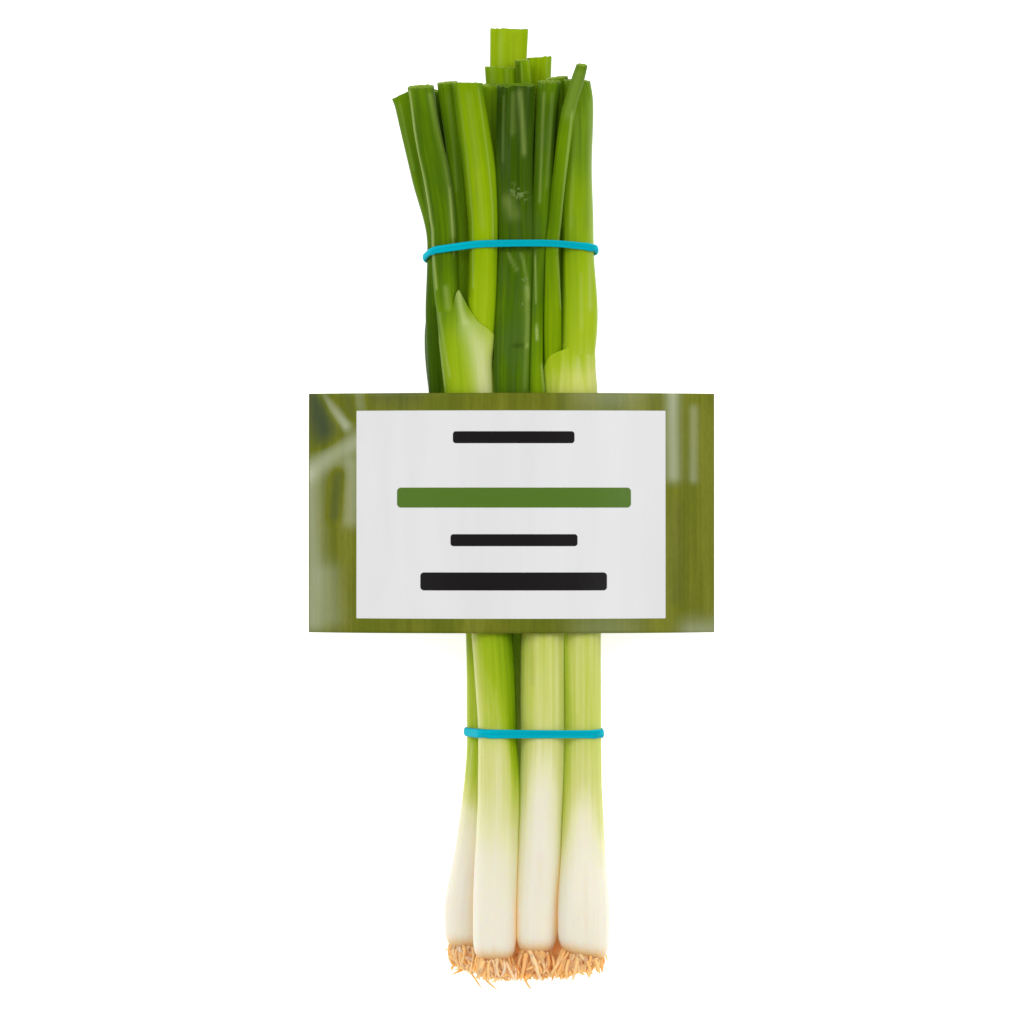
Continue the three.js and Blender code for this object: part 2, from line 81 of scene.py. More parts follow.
# foot: where the bulb meets its roots. rim: how high the sheath ends at angles round it, from its
# right over its front. sections: height, then across, up, width and depth there. green: height,
# then how green the skin is on its left, front and right, or all round, from 0 (root tan) through
# 0.1 (cream) to 1 (darkest green). marks: how wide, how raised and how pale a line is (below 0, how
# dark), and its points. tucked: how far the rim lies under the skin of its leaves, at angles.
# foot_tilt: how the foot slopes. deep: how shut in a shaft is that lies under the others, which paints
# it all over with the painted shade and painted glow of a crevice.
# The green values hold some painted light besides the skin's colour: a side in shade is set darker
# green and a lit edge paler. Most pale marks are painted highlights along edges and creases, some are
# the skin's real paler streaks, and the dark marks are painted shade.
SHAFTS = {
    "b": {
        "foot": -134.6,
        "rim": [
            (0, 51), (35, 52.9), (60, 55.7), (80, 60.4), (97, 65.6), (104, 64.4), (118, 61.2),
            (150, 60.6), (174, 61.6), (196, 58), (270, 54), (360, 51),
        ],
        "tucked": [(0, 0), (104, 0), (118, 1), (196, 1), (240, 0), (360, 0)],
        "sections": [
            (-122, -5.1, 18.0, 12.6, 12.9), (-99, -4.2, 18.4, 12.1, 12.6),
            (-84, -3.7, 18.7, 12.1, 12.6), (-67, -4.1, 18.9, 11.9, 12.6),
            (-37, -5.9, 17.8, 12.4, 12), (35, -12.6, 15.4, 14.6, 10.6),
            (56, -14.2, 15.6, 16.2, 10), (66, -14.7, 15.6, 15.8, 9.8),
        ],
        "green": [
            (-122, 0.10), (-114, 0.10, 0.11, 0.16), (-104, 0.12, 0.14, 0.22),
            (-96, 0.19, 0.21, 0.32), (-86, 0.25, 0.27, 0.58), (-74, 0.29, 0.30, 0.78),
            (-69, 0.31, 0.36, 0.83), (-65, 0.38, 0.54, 0.87), (-52, 0.40, 0.58, 0.90),
            (-39, 0.42, 0.64, 0.92), (36, 0.74, 0.61, 0.48), (48, 0.80, 0.65, 0.50),
            (58, 0.88, 0.75, 0.54), (66, 0.91, 0.86, 0.58),
        ],
        "marks": [
            (0.9, 0.0, 0.25, [(-11.2, -38), (-10.0, -64)]),
            (0.30, 0.05, 0.45, [(-23.4, 60.5), (-21.6, 50), (-19.8, 36)]),
            (0.35, 0.05, 0.30, [(-21.9, 62), (-20.3, 50), (-18.6, 40)]),
            (1.2, 0.0, 0.75, [(-16.1, 65), (-15.2, 60), (-13.8, 56)]),
            (2.9, 0.0, 0.70, [(-12.4, 54), (-10.4, 49), (-8.8, 42), (-7.4, 34)]),
        ],
    },
    "c": {
        "foot": -132.4,
        "rim": [(0, 21), (90, 18), (180, 15), (270, 18), (360, 21)],
        "sections": [
            (-122, 7.45, 17.6, 11.8, 12.1), (-99, 8.55, 18.0, 12.6, 12.5),
            (-67, 9.3, 19.0, 13.0, 12.5), (-37, 9.2, 17.6, 13.2, 12), (12, 4.2, 16.8, 14, 10.6),
            (18, 3.7, 16.8, 14, 10.4),
        ],
        "green": [
            (-122, 0.10), (-114, 0.15, 0.10, 0.13), (-105, 0.18, 0.10, 0.17),
            (-95, 0.24, 0.11, 0.26), (-85, 0.38, 0.12, 0.32), (-75, 0.42, 0.22, 0.36),
            (-65, 0.44, 0.35, 0.37), (-39, 0.46, 0.40, 0.37), (21, 0.75, 0.7, 0.7),
        ],
        "marks": [
            (1.0, 0.0, -0.10, [(5.8, -38), (6.2, -52)]),
            (0.5, 0.0, 0.25, [(13.4, -38), (13.7, -66)]),
        ],
    },
    "d": {
        "foot": -133.2, "foot_tilt": -0.18,
        "rim": [(0, 49), (90, 48.6), (116, 47.4), (140, 45.4), (160, 42), (200, 42), (360, 49)],
        "tucked": [(0, 1), (106, 1), (120, 0.2), (135, 0), (200, 0), (270, 1), (360, 1)],
        "sections": [
            (-122, 21.5, 20.2, 15.0, 15.2), (-99, 21.35, 19.0, 12.3, 12.5),
            (-85, 21.2, 18.1, 11.3, 11.5), (-67, 21.1, 17.6, 11.2, 11.2),
            (-37, 21.1, 16.8, 11.6, 11.6), (35, 17.9, 15.4, 15.6, 10),
            (49, 17.7, 15.4, 15.4, 9.6),
        ],
        "green": [
            (-122, 0.10), (-114, 0.14, 0.10, 0.11), (-108, 0.18, 0.10, 0.13),
            (-100, 0.30, 0.11, 0.24), (-92, 0.44, 0.14, 0.36), (-80, 0.52, 0.31, 0.40),
            (-65, 0.58, 0.39, 0.40), (-39, 0.62, 0.40, 0.39), (36, 0.58, 0.43, 0.42),
            (40, 0.62, 0.46, 0.44), (44, 0.68, 0.55, 0.53), (47, 0.74, 0.60, 0.58),
            (50, 0.76, 0.61, 0.60),
        ],
        "marks": [
            (0.8, 0.0, 0.18, [(20, 38), (20.2, 45)]),
            (0.6, 0.0, 0.20, [(23.6, 37), (23.6, 47)]),
            (0.5, 0.0, 0.18, [(19.2, -38), (19.6, -60)]),
        ],
    },
    "a": {
        "foot": -131.6,
        "rim": [(0, 5), (90, 8), (180, 11), (270, 8), (360, 5)],
        "sections": [
            (-122, -13.4, 6.8, 13, 13), (-99, -10.5, 7.2, 11.4, 11.4),
            (-67, -8.1, 7.8, 10.4, 10.4), (-37, -8.4, 6.6, 10.5, 10.5), (2, -15, 6.3, 11.4, 10),
            (8, -15.8, 6.3, 11.4, 9.8),
        ],
        "green": [
            (-117, 0.10), (-105, 0.12, 0.11, 0.16), (-97, 0.14, 0.14, 0.20),
            (-91, 0.14, 0.24, 0.34), (-86, 0.26, 0.48, 0.66), (-80, 0.42, 0.60, 0.74),
            (-73, 0.48, 0.62, 0.74), (-62, 0.50, 0.58, 0.62), (-39, 0.60, 0.62, 0.60),
            (11, 0.8),
        ],
        "marks": [(0.5, 0.0, 0.25, [(-11.8, -70), (-13.6, -92)])],
    },
    "e": {
        "foot": -133.4, "deep": 0.75,
        "rim": [(0, 43), (90, 45), (180, 43), (360, 43)],
        "sections": [
            (-122, -0.5, 6.3, 12, 12), (-99, 0.9, 6.9, 11, 11), (-67, 1.9, 7.5, 9.9, 9.9),
            (-37, 1.6, 6.2, 9.9, 9.9), (35, -6.4, 5.9, 10.2, 9.2), (44, -6.8, 5.9, 10.2, 9),
        ],
        "green": [
            (-130.5, 0.0), (-127, 0.08), (-122, 0.25),
            (-80, 0.5), (-60, 0.62), (-39, 0.70),
            (45, 0.85, 0.8, 0.85),
        ],
    },
    "f": {
        "foot": -134.2, "deep": 0.75,
        "rim": [(0, 41), (90, 43), (180, 41), (360, 41)],
        "sections": [
            (-122, 11.9, 6.0, 11.5, 11.5), (-99, 11.9, 6.7, 10.7, 10.7),
            (-67, 11.9, 7.4, 9.8, 9.8), (-37, 11.9, 6.1, 9.8, 9.8), (35, 5.9, 5.9, 12.4, 9.2),
            (42, 5.8, 5.9, 12.2, 9),
        ],
        "green": [
            (-130.5, 0.0), (-126, 0.08), (-121, 0.25),
            (-84, 0.4, 0.3, 0.42), (-39, 0.6), (43, 0.75, 0.7, 0.75),
        ],
    },
    "g": {
        "foot": -131.6,
        "rim": [(0, 39), (90, 41), (180, 39), (360, 39)],
        "sections": [
            (-122, 23.2, 6, 11.4, 11.4), (-99, 22.6, 6.7, 10.5, 10.5), (-67, 21.7, 7.3, 9.6, 9.6),
            (-37, 21.6, 6.1, 9.7, 9.7), (35, 16.4, 5.9, 10.2, 9.2), (40, 16.3, 5.9, 10.2, 9),
        ],
        "green": [
            (-126, 0.02, 0.02, 0.04), (-118, 0.09, 0.08, 0.10), (-98, 0.15, 0.14, 0.22),
            (-82, 0.35, 0.3, 0.42), (-39, 0.55, 0.5, 0.58), (41, 0.85, 0.8, 0.85),
        ],
    },
}


def follow(sections, heights):
    """Smooth curves through the sections that never overshoot: one row of measures a height."""
    table = np.array([(*s, *(0,) * (6 - len(s))) for s in sections], float)
    knots, measures = table[:, 0], table[:, 1:]
    rise = np.diff(measures, axis=0) / np.diff(knots)[:, None]
    before, after = rise[:-1], rise[1:]
    same_way = before * after > 0
    middle = np.where(same_way, 2 * before * after / np.where(same_way, before + after, 1), 0)
    slope = np.vstack([rise[:1], middle, rise[-1:]])
    y = np.clip(heights, knots[0], knots[-1])
    i = np.clip(np.searchsorted(knots, y, side="right") - 1, 0, len(knots) - 2)
    step = (knots[i + 1] - knots[i])[:, None]
    t = (y - knots[i])[:, None] / step
    return (
        measures[i] * (1 + 2 * t) * (1 - t) ** 2
        + measures[i + 1] * t**2 * (3 - 2 * t)
        + step * (slope[i] * t * (1 - t) ** 2 - slope[i + 1] * t**2 * (1 - t))
    )


def ease(value, low, high):
    """Rises smoothly from 0 at low to 1 at high."""
    t = np.clip((value - low) / (high - low), 0, 1)
    return t * t * (3 - 2 * t)


def straight_tube(rings, sides, closed=True):
    """A tube of radius 1 whose ring k stands at y = k, for a formula to lay in place."""
    bm = bmesh.new()
    upright = Matrix.Rotation(math.radians(90), 4, "X")
    bmesh.ops.create_circle(bm, cap_ends=closed, segments=sides, radius=1, matrix=upright)
    rim = list(bm.edges)
    for _ in range(rings - 1):
        made = bmesh.ops.extrude_edge_only(bm, edges=rim)["geom"]
        ring = [g for g in made if isinstance(g, bmesh.types.BMVert)]
        bmesh.ops.translate(bm, verts=ring, vec=(0, 1, 0))
        new = set(ring)
        rim = [g for g in made if isinstance(g, bmesh.types.BMEdge) and new.issuperset(g.verts)]
    if closed:
        bmesh.ops.contextual_create(bm, geom=rim)
    bmesh.ops.recalc_face_normals(bm, faces=bm.faces)
    return bm


def tube_places(bm):
    """Each point's ring and angle on a straight tube."""
    unit = np.array([v.co for v in bm.verts])
    return np.rint(unit[:, 1]).astype(int), np.arctan2(unit[:, 2], unit[:, 0])


def waves(angle, height, rng, turns, length, count=7):
    """Unevenness of about -1 to 1 round and along a limb: turns is the most lobes round it, and
    length the shortest swell along it, in millimetres."""
    total = np.zeros_like(angle)
    for _ in range(count):
        lobes = rng.integers(1, turns + 1)
        pitch = 2 * math.pi / (length * rng.uniform(1, 3)) * rng.choice([-1, 1])
        total += np.sin(lobes * angle + pitch * height + rng.uniform(0, 2 * math.pi))
    return total / math.sqrt(count)


def lay_outline(measures, angle, grow, power):
    """Points on a section's outline, grown or shrunk: across, up, and the same before the bend."""
    x, z, width, depth, lean = measures.T
    lean = np.radians(lean)
    cos, sin = np.cos(angle), np.sin(angle)
    across = np.sign(cos) * np.abs(cos) ** (2 / power) * np.maximum(width / 2 + grow, 0.05)
    up = np.sign(sin) * np.abs(sin) ** (2 / power) * np.maximum(depth / 2 + grow, 0.05)
    bent_x = x + across * np.cos(lean) + up * np.sin(lean)
    bent_z = z + up * np.cos(lean) - across * np.sin(lean)
    return bent_x, bent_z, across, up


limbs = []


def beside(points, limb, gap):
    """How near points are to a limb's axis, where its surface plus the gap is 1, and the axis."""
    x, z, width, depth, lean = follow(limb["sections"], points[:, 1]).T
    lean, power = np.radians(lean), limb["power"]
    dx, dz = points[:, 0] - x, points[:, 2] - z
    across = dx * np.cos(lean) - dz * np.sin(lean)
    up = dx * np.sin(lean) + dz * np.cos(lean)
    share = (np.abs(across) / (width / 2 + gap)) ** power + (np.abs(up) / (depth / 2 + gap)) ** power
    return share ** (1 / power), np.minimum(width, depth) / 2, x, z


def neighbours(points, onion, kind, own=None):
    """Each limb that could touch the points, and which of the points are at its heights."""
    for limb in limbs:
        if limb is own or (limb["onion"] == onion and limb["kind"] != kind):
            continue
        low, high = limb["sections"][0][0], limb["sections"][-1][0]
        near = np.flatnonzero((points[:, 1] > low) & (points[:, 1] < high))
        if len(near):
            yield limb, near


def press_in(points, onion, kind):
    """Dents the points clear of every limb that is laid already."""
    for limb, near in neighbours(points, onion, kind):
        share, _, x, z = beside(points[near], limb, TOUCH)
        push = np.where(share < 1, 1 / np.maximum(share, 0.05), 1)
        points[near, 0] = x + (points[near, 0] - x) * push
        points[near, 2] = z + (points[near, 2] - z) * push
    return points


# How quickly the colour of a limb's front gives way to that of its sides.
FRONT_HOLD = 1.7


def side_blend(table, heights, angle):
    """A value from rows of height, left, front and right, at each height and angle."""
    rows = np.array([row if len(row) == 4 else (row[0], *row[1:] * 3) for row in table], float)
    left, front, right = (np.interp(heights, rows[:, 0], rows[:, k]) for k in (1, 2, 3))
    aside = np.abs(np.cos(angle)) ** FRONT_HOLD
    return front * (1 - aside) + np.where(np.cos(angle) > 0, right, left) * aside


def from_path(x, y, path):
    """How far each place is from a path of straight stretches."""
    nearest = np.full(len(x), 1e9)
    for (x0, y0), (x1, y1) in zip(path, path[1:]):
        dx, dy = x1 - x0, y1 - y0
        share = np.clip(((x - x0) * dx + (y - y0) * dy) / (dx * dx + dy * dy), 0, 1)
        nearest = np.minimum(nearest, np.hypot(x - x0 - share * dx, y - y0 - share * dy))
    return nearest


def lay_marks(marks, x, y, front):
    """Raises the skin along its marks, on its front only, and pales it along some and darkens it along
    others: painted highlights and painted shade, with some real pale streaks.
    """
    rise, pale = np.zeros(len(x)), np.zeros(len(x))
    for width, raised, tone, path in marks:
        near = np.exp(-((from_path(x, y, path) / width) ** 2)) * front
        rise += raised * near
        pale += tone * near
    return rise, np.clip(pale, -1, 1)


def lay_skin(measures, angle, y, grow, power, marks):
    """The outline with its marks raised, as lay_outline gives it, and how pale they make it."""
    bent_x = lay_outline(measures, angle, grow, power)[0]
    rise, pale = lay_marks(marks, bent_x, y, np.sin(angle) > FRONT_EDGE)
    return *lay_outline(measures, angle, grow + rise, power), pale


def straight_grain(across, y, up, rng):
    """Where the grain is read: the limb as if it were straight, each at a place of its own."""
    return np.column_stack([across, y, up]) * MM + (0, 0, rng.uniform(0, 9))


def finish_limb(name, bm, points, attributes):
    """Makes the limb's mesh and object, with its values for the skin as attributes."""
    mesh = bpy.data.meshes.new(name)
    bm.to_mesh(mesh)
    bm.free()
    mesh.vertices.foreach_set("co", (points * MM).ravel())
    for key, values in attributes.items():
        add_attribute(mesh, key, values)
    mesh.shade_smooth()
    mesh.update()
    piece = bpy.data.objects.new(name, mesh)
    bpy.context.scene.collection.objects.link(piece)
    return piece


def add_attribute(mesh, key, values):
    kind, field = ("FLOAT_VECTOR", "vector") if values.ndim == 2 else ("FLOAT", "value")
    attribute = mesh.attributes.new(key, kind, "POINT")
    attribute.data.foreach_set(field, values.astype(np.float32).ravel())


def face_out(piece):
    """Points the faces of a piece that was laid inside out."""
    bm = bmesh.new()
    bm.from_mesh(piece.data)
    bmesh.ops.recalc_face_normals(bm, faces=bm.faces)
    bm.to_mesh(piece.data)
    bm.free()


def srgb(red, green, blue):
    """A colour given as it looks on a screen, 0 to 255, in the linear values that shaders use."""
    def linear(value):
        share = value / 255
        return share / 12.92 if share <= 0.04045 else ((share + 0.055) / 1.055) ** 2.4

    return (linear(red), linear(green), linear(blue), 1)


def feed(tree, node, inputs):
    """Feeds a node's inputs: each is a constant, or a socket to link from."""
    for name, value in inputs.items():
        if isinstance(value, bpy.types.NodeSocket):
            tree.links.new(value, node.inputs[name])
        else:
            node.inputs[name].default_value = value


def add(tree, kind, inputs=None, **properties):
    """Adds a shader node with its properties and inputs."""
    made = tree.nodes.new(kind)
    for name, value in properties.items():
        setattr(made, name, value)
    feed(tree, made, inputs or {})
    return made


def new_material(name):
    """An empty material: the material, its tree and its shader."""
    material = bpy.data.materials.new(name)
    material.use_nodes = True
    return material, material.node_tree, material.node_tree.nodes["Principled BSDF"]


def calc(tree, operation, *values, clamp=False):
    """One sum on values or sockets."""
    made = add(tree, "ShaderNodeMath", dict(enumerate(values)), operation=operation)
    made.use_clamp = clamp
    return made.outputs[0]


def blend_colour(tree, factor, first, second):
    """Mixes two colours by a factor."""
    inputs = {0: factor, 6: first, 7: second}
    return add(tree, "ShaderNodeMix", inputs, data_type="RGBA").outputs[2]


def read(tree, name, output="Fac"):
    """A value that the mesh carries."""
    return add(tree, "ShaderNodeAttribute", attribute_name=name).outputs[output]


def grain_noise(tree, grain, round_scale, along_scale, detail=2.0, seed=0.0):
    """Noise from 0 to 1, drawn out along the limb; the scales are features per metre."""
    stretch = {"Vector": grain, "Scale": (round_scale, along_scale, round_scale)}
    stretch["Location"] = (seed, seed, seed)
    mapped = add(tree, "ShaderNodeMapping", stretch).outputs[0]
    inputs = {"Vector": mapped, "Scale": 1.0, "Detail": detail, "Roughness": 0.55}
    return add(tree, "ShaderNodeTexNoise", inputs).outputs[0]


def remap(tree, value, low, high, out_low=0.0, out_high=1.0):
    """Spreads low..high smoothly over out_low..out_high, and holds it there."""
    inputs = {0: value, 1: low, 2: high, 3: out_low, 4: out_high}
    made = add(tree, "ShaderNodeMapRange", inputs, interpolation_type="SMOOTHSTEP")
    return made.outputs[0]


def colour_ramp(tree, value, stops):
    """A colour that follows a value from stop to stop."""
    ramp = add(tree, "ShaderNodeValToRGB", {0: value})
    elements = ramp.color_ramp.elements
    for place, colour in stops[1:-1]:
        elements.new(place).color = colour
    elements[0].position, elements[0].color = stops[0]
    elements[-1].position, elements[-1].color = stops[-1]
    return ramp.outputs[0]


def new_group(name, inputs, outputs):
    """An empty shader group with named sockets: its tree, its input sockets and its output node."""
    tree = bpy.data.node_groups.new(name, "ShaderNodeTree")
    for label, kind in inputs.items():
        tree.interface.new_socket(label, in_out="INPUT", socket_type=kind)
    for label, kind in outputs.items():
        tree.interface.new_socket(label, in_out="OUTPUT", socket_type=kind)
    entry = tree.nodes.new("NodeGroupInput")
    leave = tree.nodes.new("NodeGroupOutput")
    return tree, entry.outputs, leave


SKIN_COLOURS = [
    (0.00, srgb(212, 128, 50)),
    (0.05, srgb(226, 192, 140)),
    (0.10, srgb(234, 229, 213)),
    (0.20, srgb(226, 224, 180)),
    (0.30, srgb(210, 211, 138)),
    (0.44, srgb(190, 200, 92)),
    (0.58, srgb(158, 181, 30)),
    (0.70, srgb(136, 166, 4)),
    (0.82, srgb(98, 132, 5)),
    (0.92, srgb(66, 98, 3)),
    (1.00, srgb(40, 66, 2)),
]


def tone_by_green(tree, green, tones, changes):
    """A colour that passes from tone to tone as the skin gets greener."""
    tone = tones[0]
    for (low, high), following in zip(changes, tones[1:]):
        tone = blend_colour(tree, remap(tree, green, low, high), tone, following)
    return tone


WAX, WORN_SKIN = srgb(104, 126, 78), srgb(150, 168, 108)
PALE_AND_HIGHLIGHT_LINE, PALE_GREEN_AND_HIGHLIGHT_LINE, SHADE_AND_CRACK_LINE = srgb(226, 226, 176), srgb(170, 190, 104), srgb(30, 50, 2)
RIM_TONES = (srgb(134, 168, 40), srgb(178, 200, 96), srgb(98, 130, 28))
INNER_SHADE = srgb(84, 112, 10)
# A painted warm light on white skin beside a neighbour.
PAINTED_WARM_LIGHT = srgb(244, 208, 152)
# Painted shade where limbs touch, and the painted glow emitted there, for skin of root tan,
# cream, light green and dark green.
TOUCH_SHADE_TONES = (srgb(222, 130, 44), srgb(200, 172, 90), srgb(150, 164, 14), srgb(16, 30, 0))
GLOW_TONES = (srgb(176, 96, 20), srgb(208, 182, 132), srgb(168, 176, 84), srgb(98, 138, 18))


def build_skin_group():
    """The skin of every green or white part: ribs and streaks along it, wax bloom and scuffs, with
    painted highlights and painted shade along its marks and in its crevices and mouths, and a painted
    glow.
    """
    tree, entry, leave = new_group(
        "onion_skin",
        {
            "Green": "NodeSocketFloat",
            "Grain": "NodeSocketVector",
            "Cut": "NodeSocketFloat",
            "Pale": "NodeSocketFloat",
            "Scuff": "NodeSocketFloat",
            "Crevice": "NodeSocketFloat",
            "Streaks": "NodeSocketFloat",
            "Bloom": "NodeSocketFloat",
        },
        {
            "Colour": "NodeSocketColor",
            "Roughness": "NodeSocketFloat",
            "Height": "NodeSocketFloat",
            "Glow": "NodeSocketColor",
        },
    )
    grain, green = entry["Grain"], entry["Green"]
    veins = grain_noise(tree, grain, 1500, 18, detail=1.0)
    streaks = grain_noise(tree, grain, 620, 16, detail=2.0, seed=3.1)
    clouds = grain_noise(tree, grain, 170, 42, detail=3.0, seed=7.7)
    speckle = grain_noise(tree, grain, 2600, 1500, detail=2.0, seed=1.3)

    streaky = calc(tree, "MULTIPLY", calc(tree, "SUBTRACT", streaks, 0.5), entry["Streaks"])
    cloudy = calc(tree, "MULTIPLY", calc(tree, "SUBTRACT", clouds, 0.5), 0.12)
    veined = calc(tree, "MULTIPLY", calc(tree, "SUBTRACT", veins, 0.5), 0.10)
    shift = calc(tree, "ADD", calc(tree, "ADD", streaky, cloudy), veined)
    # White skin has no green to vary, so the shift fades out towards the bulb.
    shift = calc(tree, "MULTIPLY", shift, remap(tree, green, 0.08, 0.42, 0.1, 1.0))
    shifted = calc(tree, "ADD", green, shift, clamp=True)

    colour = colour_ramp(tree, shifted, SKIN_COLOURS)

    bloom_patch = calc(tree, "MULTIPLY", remap(tree, clouds, 0.45, 0.70), entry["Bloom"])
    bloom_line = calc(tree, "MULTIPLY", remap(tree, streaks, 0.5, 0.72), entry["Bloom"])
    bloom = calc(tree, "MULTIPLY", calc(tree, "ADD", bloom_patch, bloom_line), 0.35, clamp=True)
    colour = blend_colour(tree, bloom, colour, WAX)

    # Pale marks are partly painted highlights along edges and creases and partly real pale streaks;
    # dark marks, where Pale is below 0, are painted shade, besides one real crack.
    uneven = remap(tree, streaks, 0.25, 0.75, 0.6, 1.15)
    pale = calc(tree, "MULTIPLY", entry["Pale"], uneven, clamp=True)
    pale_tone = blend_colour(tree, remap(tree, green, 0.5, 0.8), PALE_AND_HIGHLIGHT_LINE, PALE_GREEN_AND_HIGHLIGHT_LINE)
    colour = blend_colour(tree, pale, colour, pale_tone)
    dark = calc(tree, "MULTIPLY", entry["Pale"], -1.0, clamp=True)
    colour = blend_colour(tree, dark, colour, SHADE_AND_CRACK_LINE)

    worn = grain_noise(tree, grain, 900, 620, detail=5.0, seed=11.9)
    fleck = calc(tree, "MULTIPLY", remap(tree, worn, 0.50, 0.62), entry["Scuff"], clamp=True)
    colour = blend_colour(tree, calc(tree, "MULTIPLY", fleck, 0.6), colour, WORN_SKIN)

    rim_tone = blend_colour(tree, veins, *RIM_TONES[:2])
    rim_tone = blend_colour(tree, remap(tree, green, 0.84, 0.95), rim_tone, RIM_TONES[2])
    # Inside a cut mouth the skin gets painted shade, dark green, and the cut rim its own pale tone.
    inside = calc(tree, "MULTIPLY", entry["Cut"], 2.0, clamp=True)
    colour = blend_colour(tree, inside, colour, INNER_SHADE)
    at_rim = calc(tree, "SUBTRACT", calc(tree, "MULTIPLY", entry["Cut"], 2.0), 1.0, clamp=True)
    colour = blend_colour(tree, at_rim, colour, rim_tone)

    # White skin beside a neighbour gets a painted warm light, and where limbs touch, painted shade.
    warm_light = remap(tree, entry["Crevice"], 0.18, 0.85, 0.0, 0.7)
    warm_light = calc(tree, "MULTIPLY", warm_light, remap(tree, green, 0.08, 0.2, 1.0, 0.0))
    colour = blend_colour(tree, warm_light, colour, PAINTED_WARM_LIGHT)
    touch_shade = remap(tree, entry["Crevice"], 0.70, 1.0, 0.0, 0.7)
    touch_shade_tone = tone_by_green(tree, green, TOUCH_SHADE_TONES, [(0.02, 0.1), (0.14, 0.3), (0.5, 0.8)])
    colour = blend_colour(tree, touch_shade, colour, touch_shade_tone)

    rough = calc(tree, "ADD", 0.36, calc(tree, "MULTIPLY", bloom, 0.5))
    rough = calc(tree, "ADD", rough, calc(tree, "MULTIPLY", clouds, 0.14))
    rough = calc(tree, "ADD", rough, calc(tree, "MULTIPLY", fleck, 0.2), clamp=True)

    height = calc(tree, "ADD", calc(tree, "MULTIPLY", veins, 0.7), calc(tree, "MULTIPLY", streaks, 0.5))
    height = calc(tree, "ADD", height, calc(tree, "MULTIPLY", speckle, 0.12))
    height = calc(tree, "ADD", height, calc(tree, "MULTIPLY", fleck, 0.6))
    tree.links.new(colour, leave.inputs["Colour"])
    tree.links.new(rough, leave.inputs["Roughness"])
    tree.links.new(height, leave.inputs["Height"])

    # A painted glow, emitted near a neighbour, stands in for light let through the pale flesh into the
    # narrow gap.
    glow = tone_by_green(tree, green, GLOW_TONES, [(0.02, 0.09), (0.14, 0.3), (0.45, 0.74)])
    gap = remap(tree, entry["Crevice"], 0.45, 0.95)
    tree.links.new(blend_colour(tree, gap, srgb(0, 0, 0), glow), leave.inputs["Glow"])
    return tree


skin_group = build_skin_group()
SKIN_VALUES = {
    "Green": "green", "Cut": "cut", "Pale": "pale", "Scuff": "scuff", "Crevice": "crevice",
}


def skin_material(name, streaks, bloom, flesh, glow, gloss, gloss_tint, relief):
    """A waxy plant skin over moist flesh, from the shared skin group, which emits a painted glow in its
    crevices.
    """
    material, tree, shader = new_material(name)
    skin = tree.nodes.new("ShaderNodeGroup")
    skin.node_tree = skin_group
    feed(tree, skin, {label: read(tree, value) for label, value in SKIN_VALUES.items()})
    feed(tree, skin, {"Grain": read(tree, "grain", "Vector"), "Streaks": streaks, "Bloom": bloom})
    bump = {"Height": skin.outputs["Height"], "Strength": relief, "Distance": 0.0003}
    feed(tree, shader, {
        "Base Color": skin.outputs["Colour"],
        "Roughness": skin.outputs["Roughness"],
        "Normal": add(tree, "ShaderNodeBump", bump).outputs[0],
        "Emission Color": skin.outputs["Glow"],
        "Emission Strength": glow,
        "Subsurface Weight": flesh,
        "Subsurface Radius": (3.4, 2.4, 1.0),
        "Subsurface Scale": MM,
        "Specular IOR Level": gloss,
        "Specular Tint": gloss_tint,
    })
    return material


SHAFT_FINISH = {
    "streaks": 0.22, "bloom": 0.0, "gloss": 0.12, "relief": 0.3, "gloss_tint": (1, 1, 0.5, 1),
}
# Light soaks deep into the white bulb, and hardly into the green sheath; both emit a painted glow in
# their crevices.
bulb_skin = skin_material("bulb_skin", flesh=0.6, glow=0.3, **SHAFT_FINISH)
sheath_skin = skin_material("sheath_skin", flesh=0.0, glow=0.2, **SHAFT_FINISH)


def wall_heights(foot, top, step, wall, depth):
    """Rings up the outside, over the rim and down the inside: heights, and how far in each is."""
    outer = np.linspace(foot, top, math.ceil((top - foot) / step) + 1)
    inner = np.linspace(top, top - depth, INNER_RINGS + 1)[1:]
    heights = np.concatenate([outer, [top + wall * 0.3], [top], inner])
    inset = np.concatenate([np.zeros(len(outer)), [wall * 0.5], [wall], np.full(len(inner), wall)])
    return heights, inset


def outline_reach(sections, power, heights, turn):
    """How far an outline reaches in each direction across it, at each height, and the point that
    does: across and up."""
    x, z, width, depth, lean = follow(sections, heights).T
    lean, blunt = np.radians(lean), power / (power - 1)
    out_x, out_z = np.cos(turn), np.sin(turn)
    wide = out_x * np.cos(lean) - out_z * np.sin(lean)
    tall = out_z * np.cos(lean) + out_x * np.sin(lean)
    a, b = np.abs(wide * width / 2) ** blunt, np.abs(tall * depth / 2) ** blunt
    size = (a + b) ** (1 / blunt)
    across = np.sign(wide) * a / np.maximum(np.abs(wide), 1e-6) / size ** (blunt - 1)
    up = np.sign(tall) * b / np.maximum(np.abs(tall), 1e-6) / size ** (blunt - 1)
    far_x = x + across * np.cos(lean) + up * np.sin(lean)
    far_z = z + up * np.cos(lean) - across * np.sin(lean)
    return out_x * x + out_z * z + size, far_x, far_z


def leaves_reach(onion, heights, directions):
    """How far an onion's own leaves reach in each direction across them, at each height."""
    reach = np.full((len(heights), len(directions)), -1e9)
    every_height = np.repeat(heights, len(directions))
    every_turn = np.tile(directions, len(heights))
    for leaf in LEAVES:
        if leaf["leaf"][0] == onion:
            far = outline_reach(leaf["sections"], leaf["square"], every_height, every_turn)[0]
            reach = np.maximum(reach, far.reshape(reach.shape))
    return reach


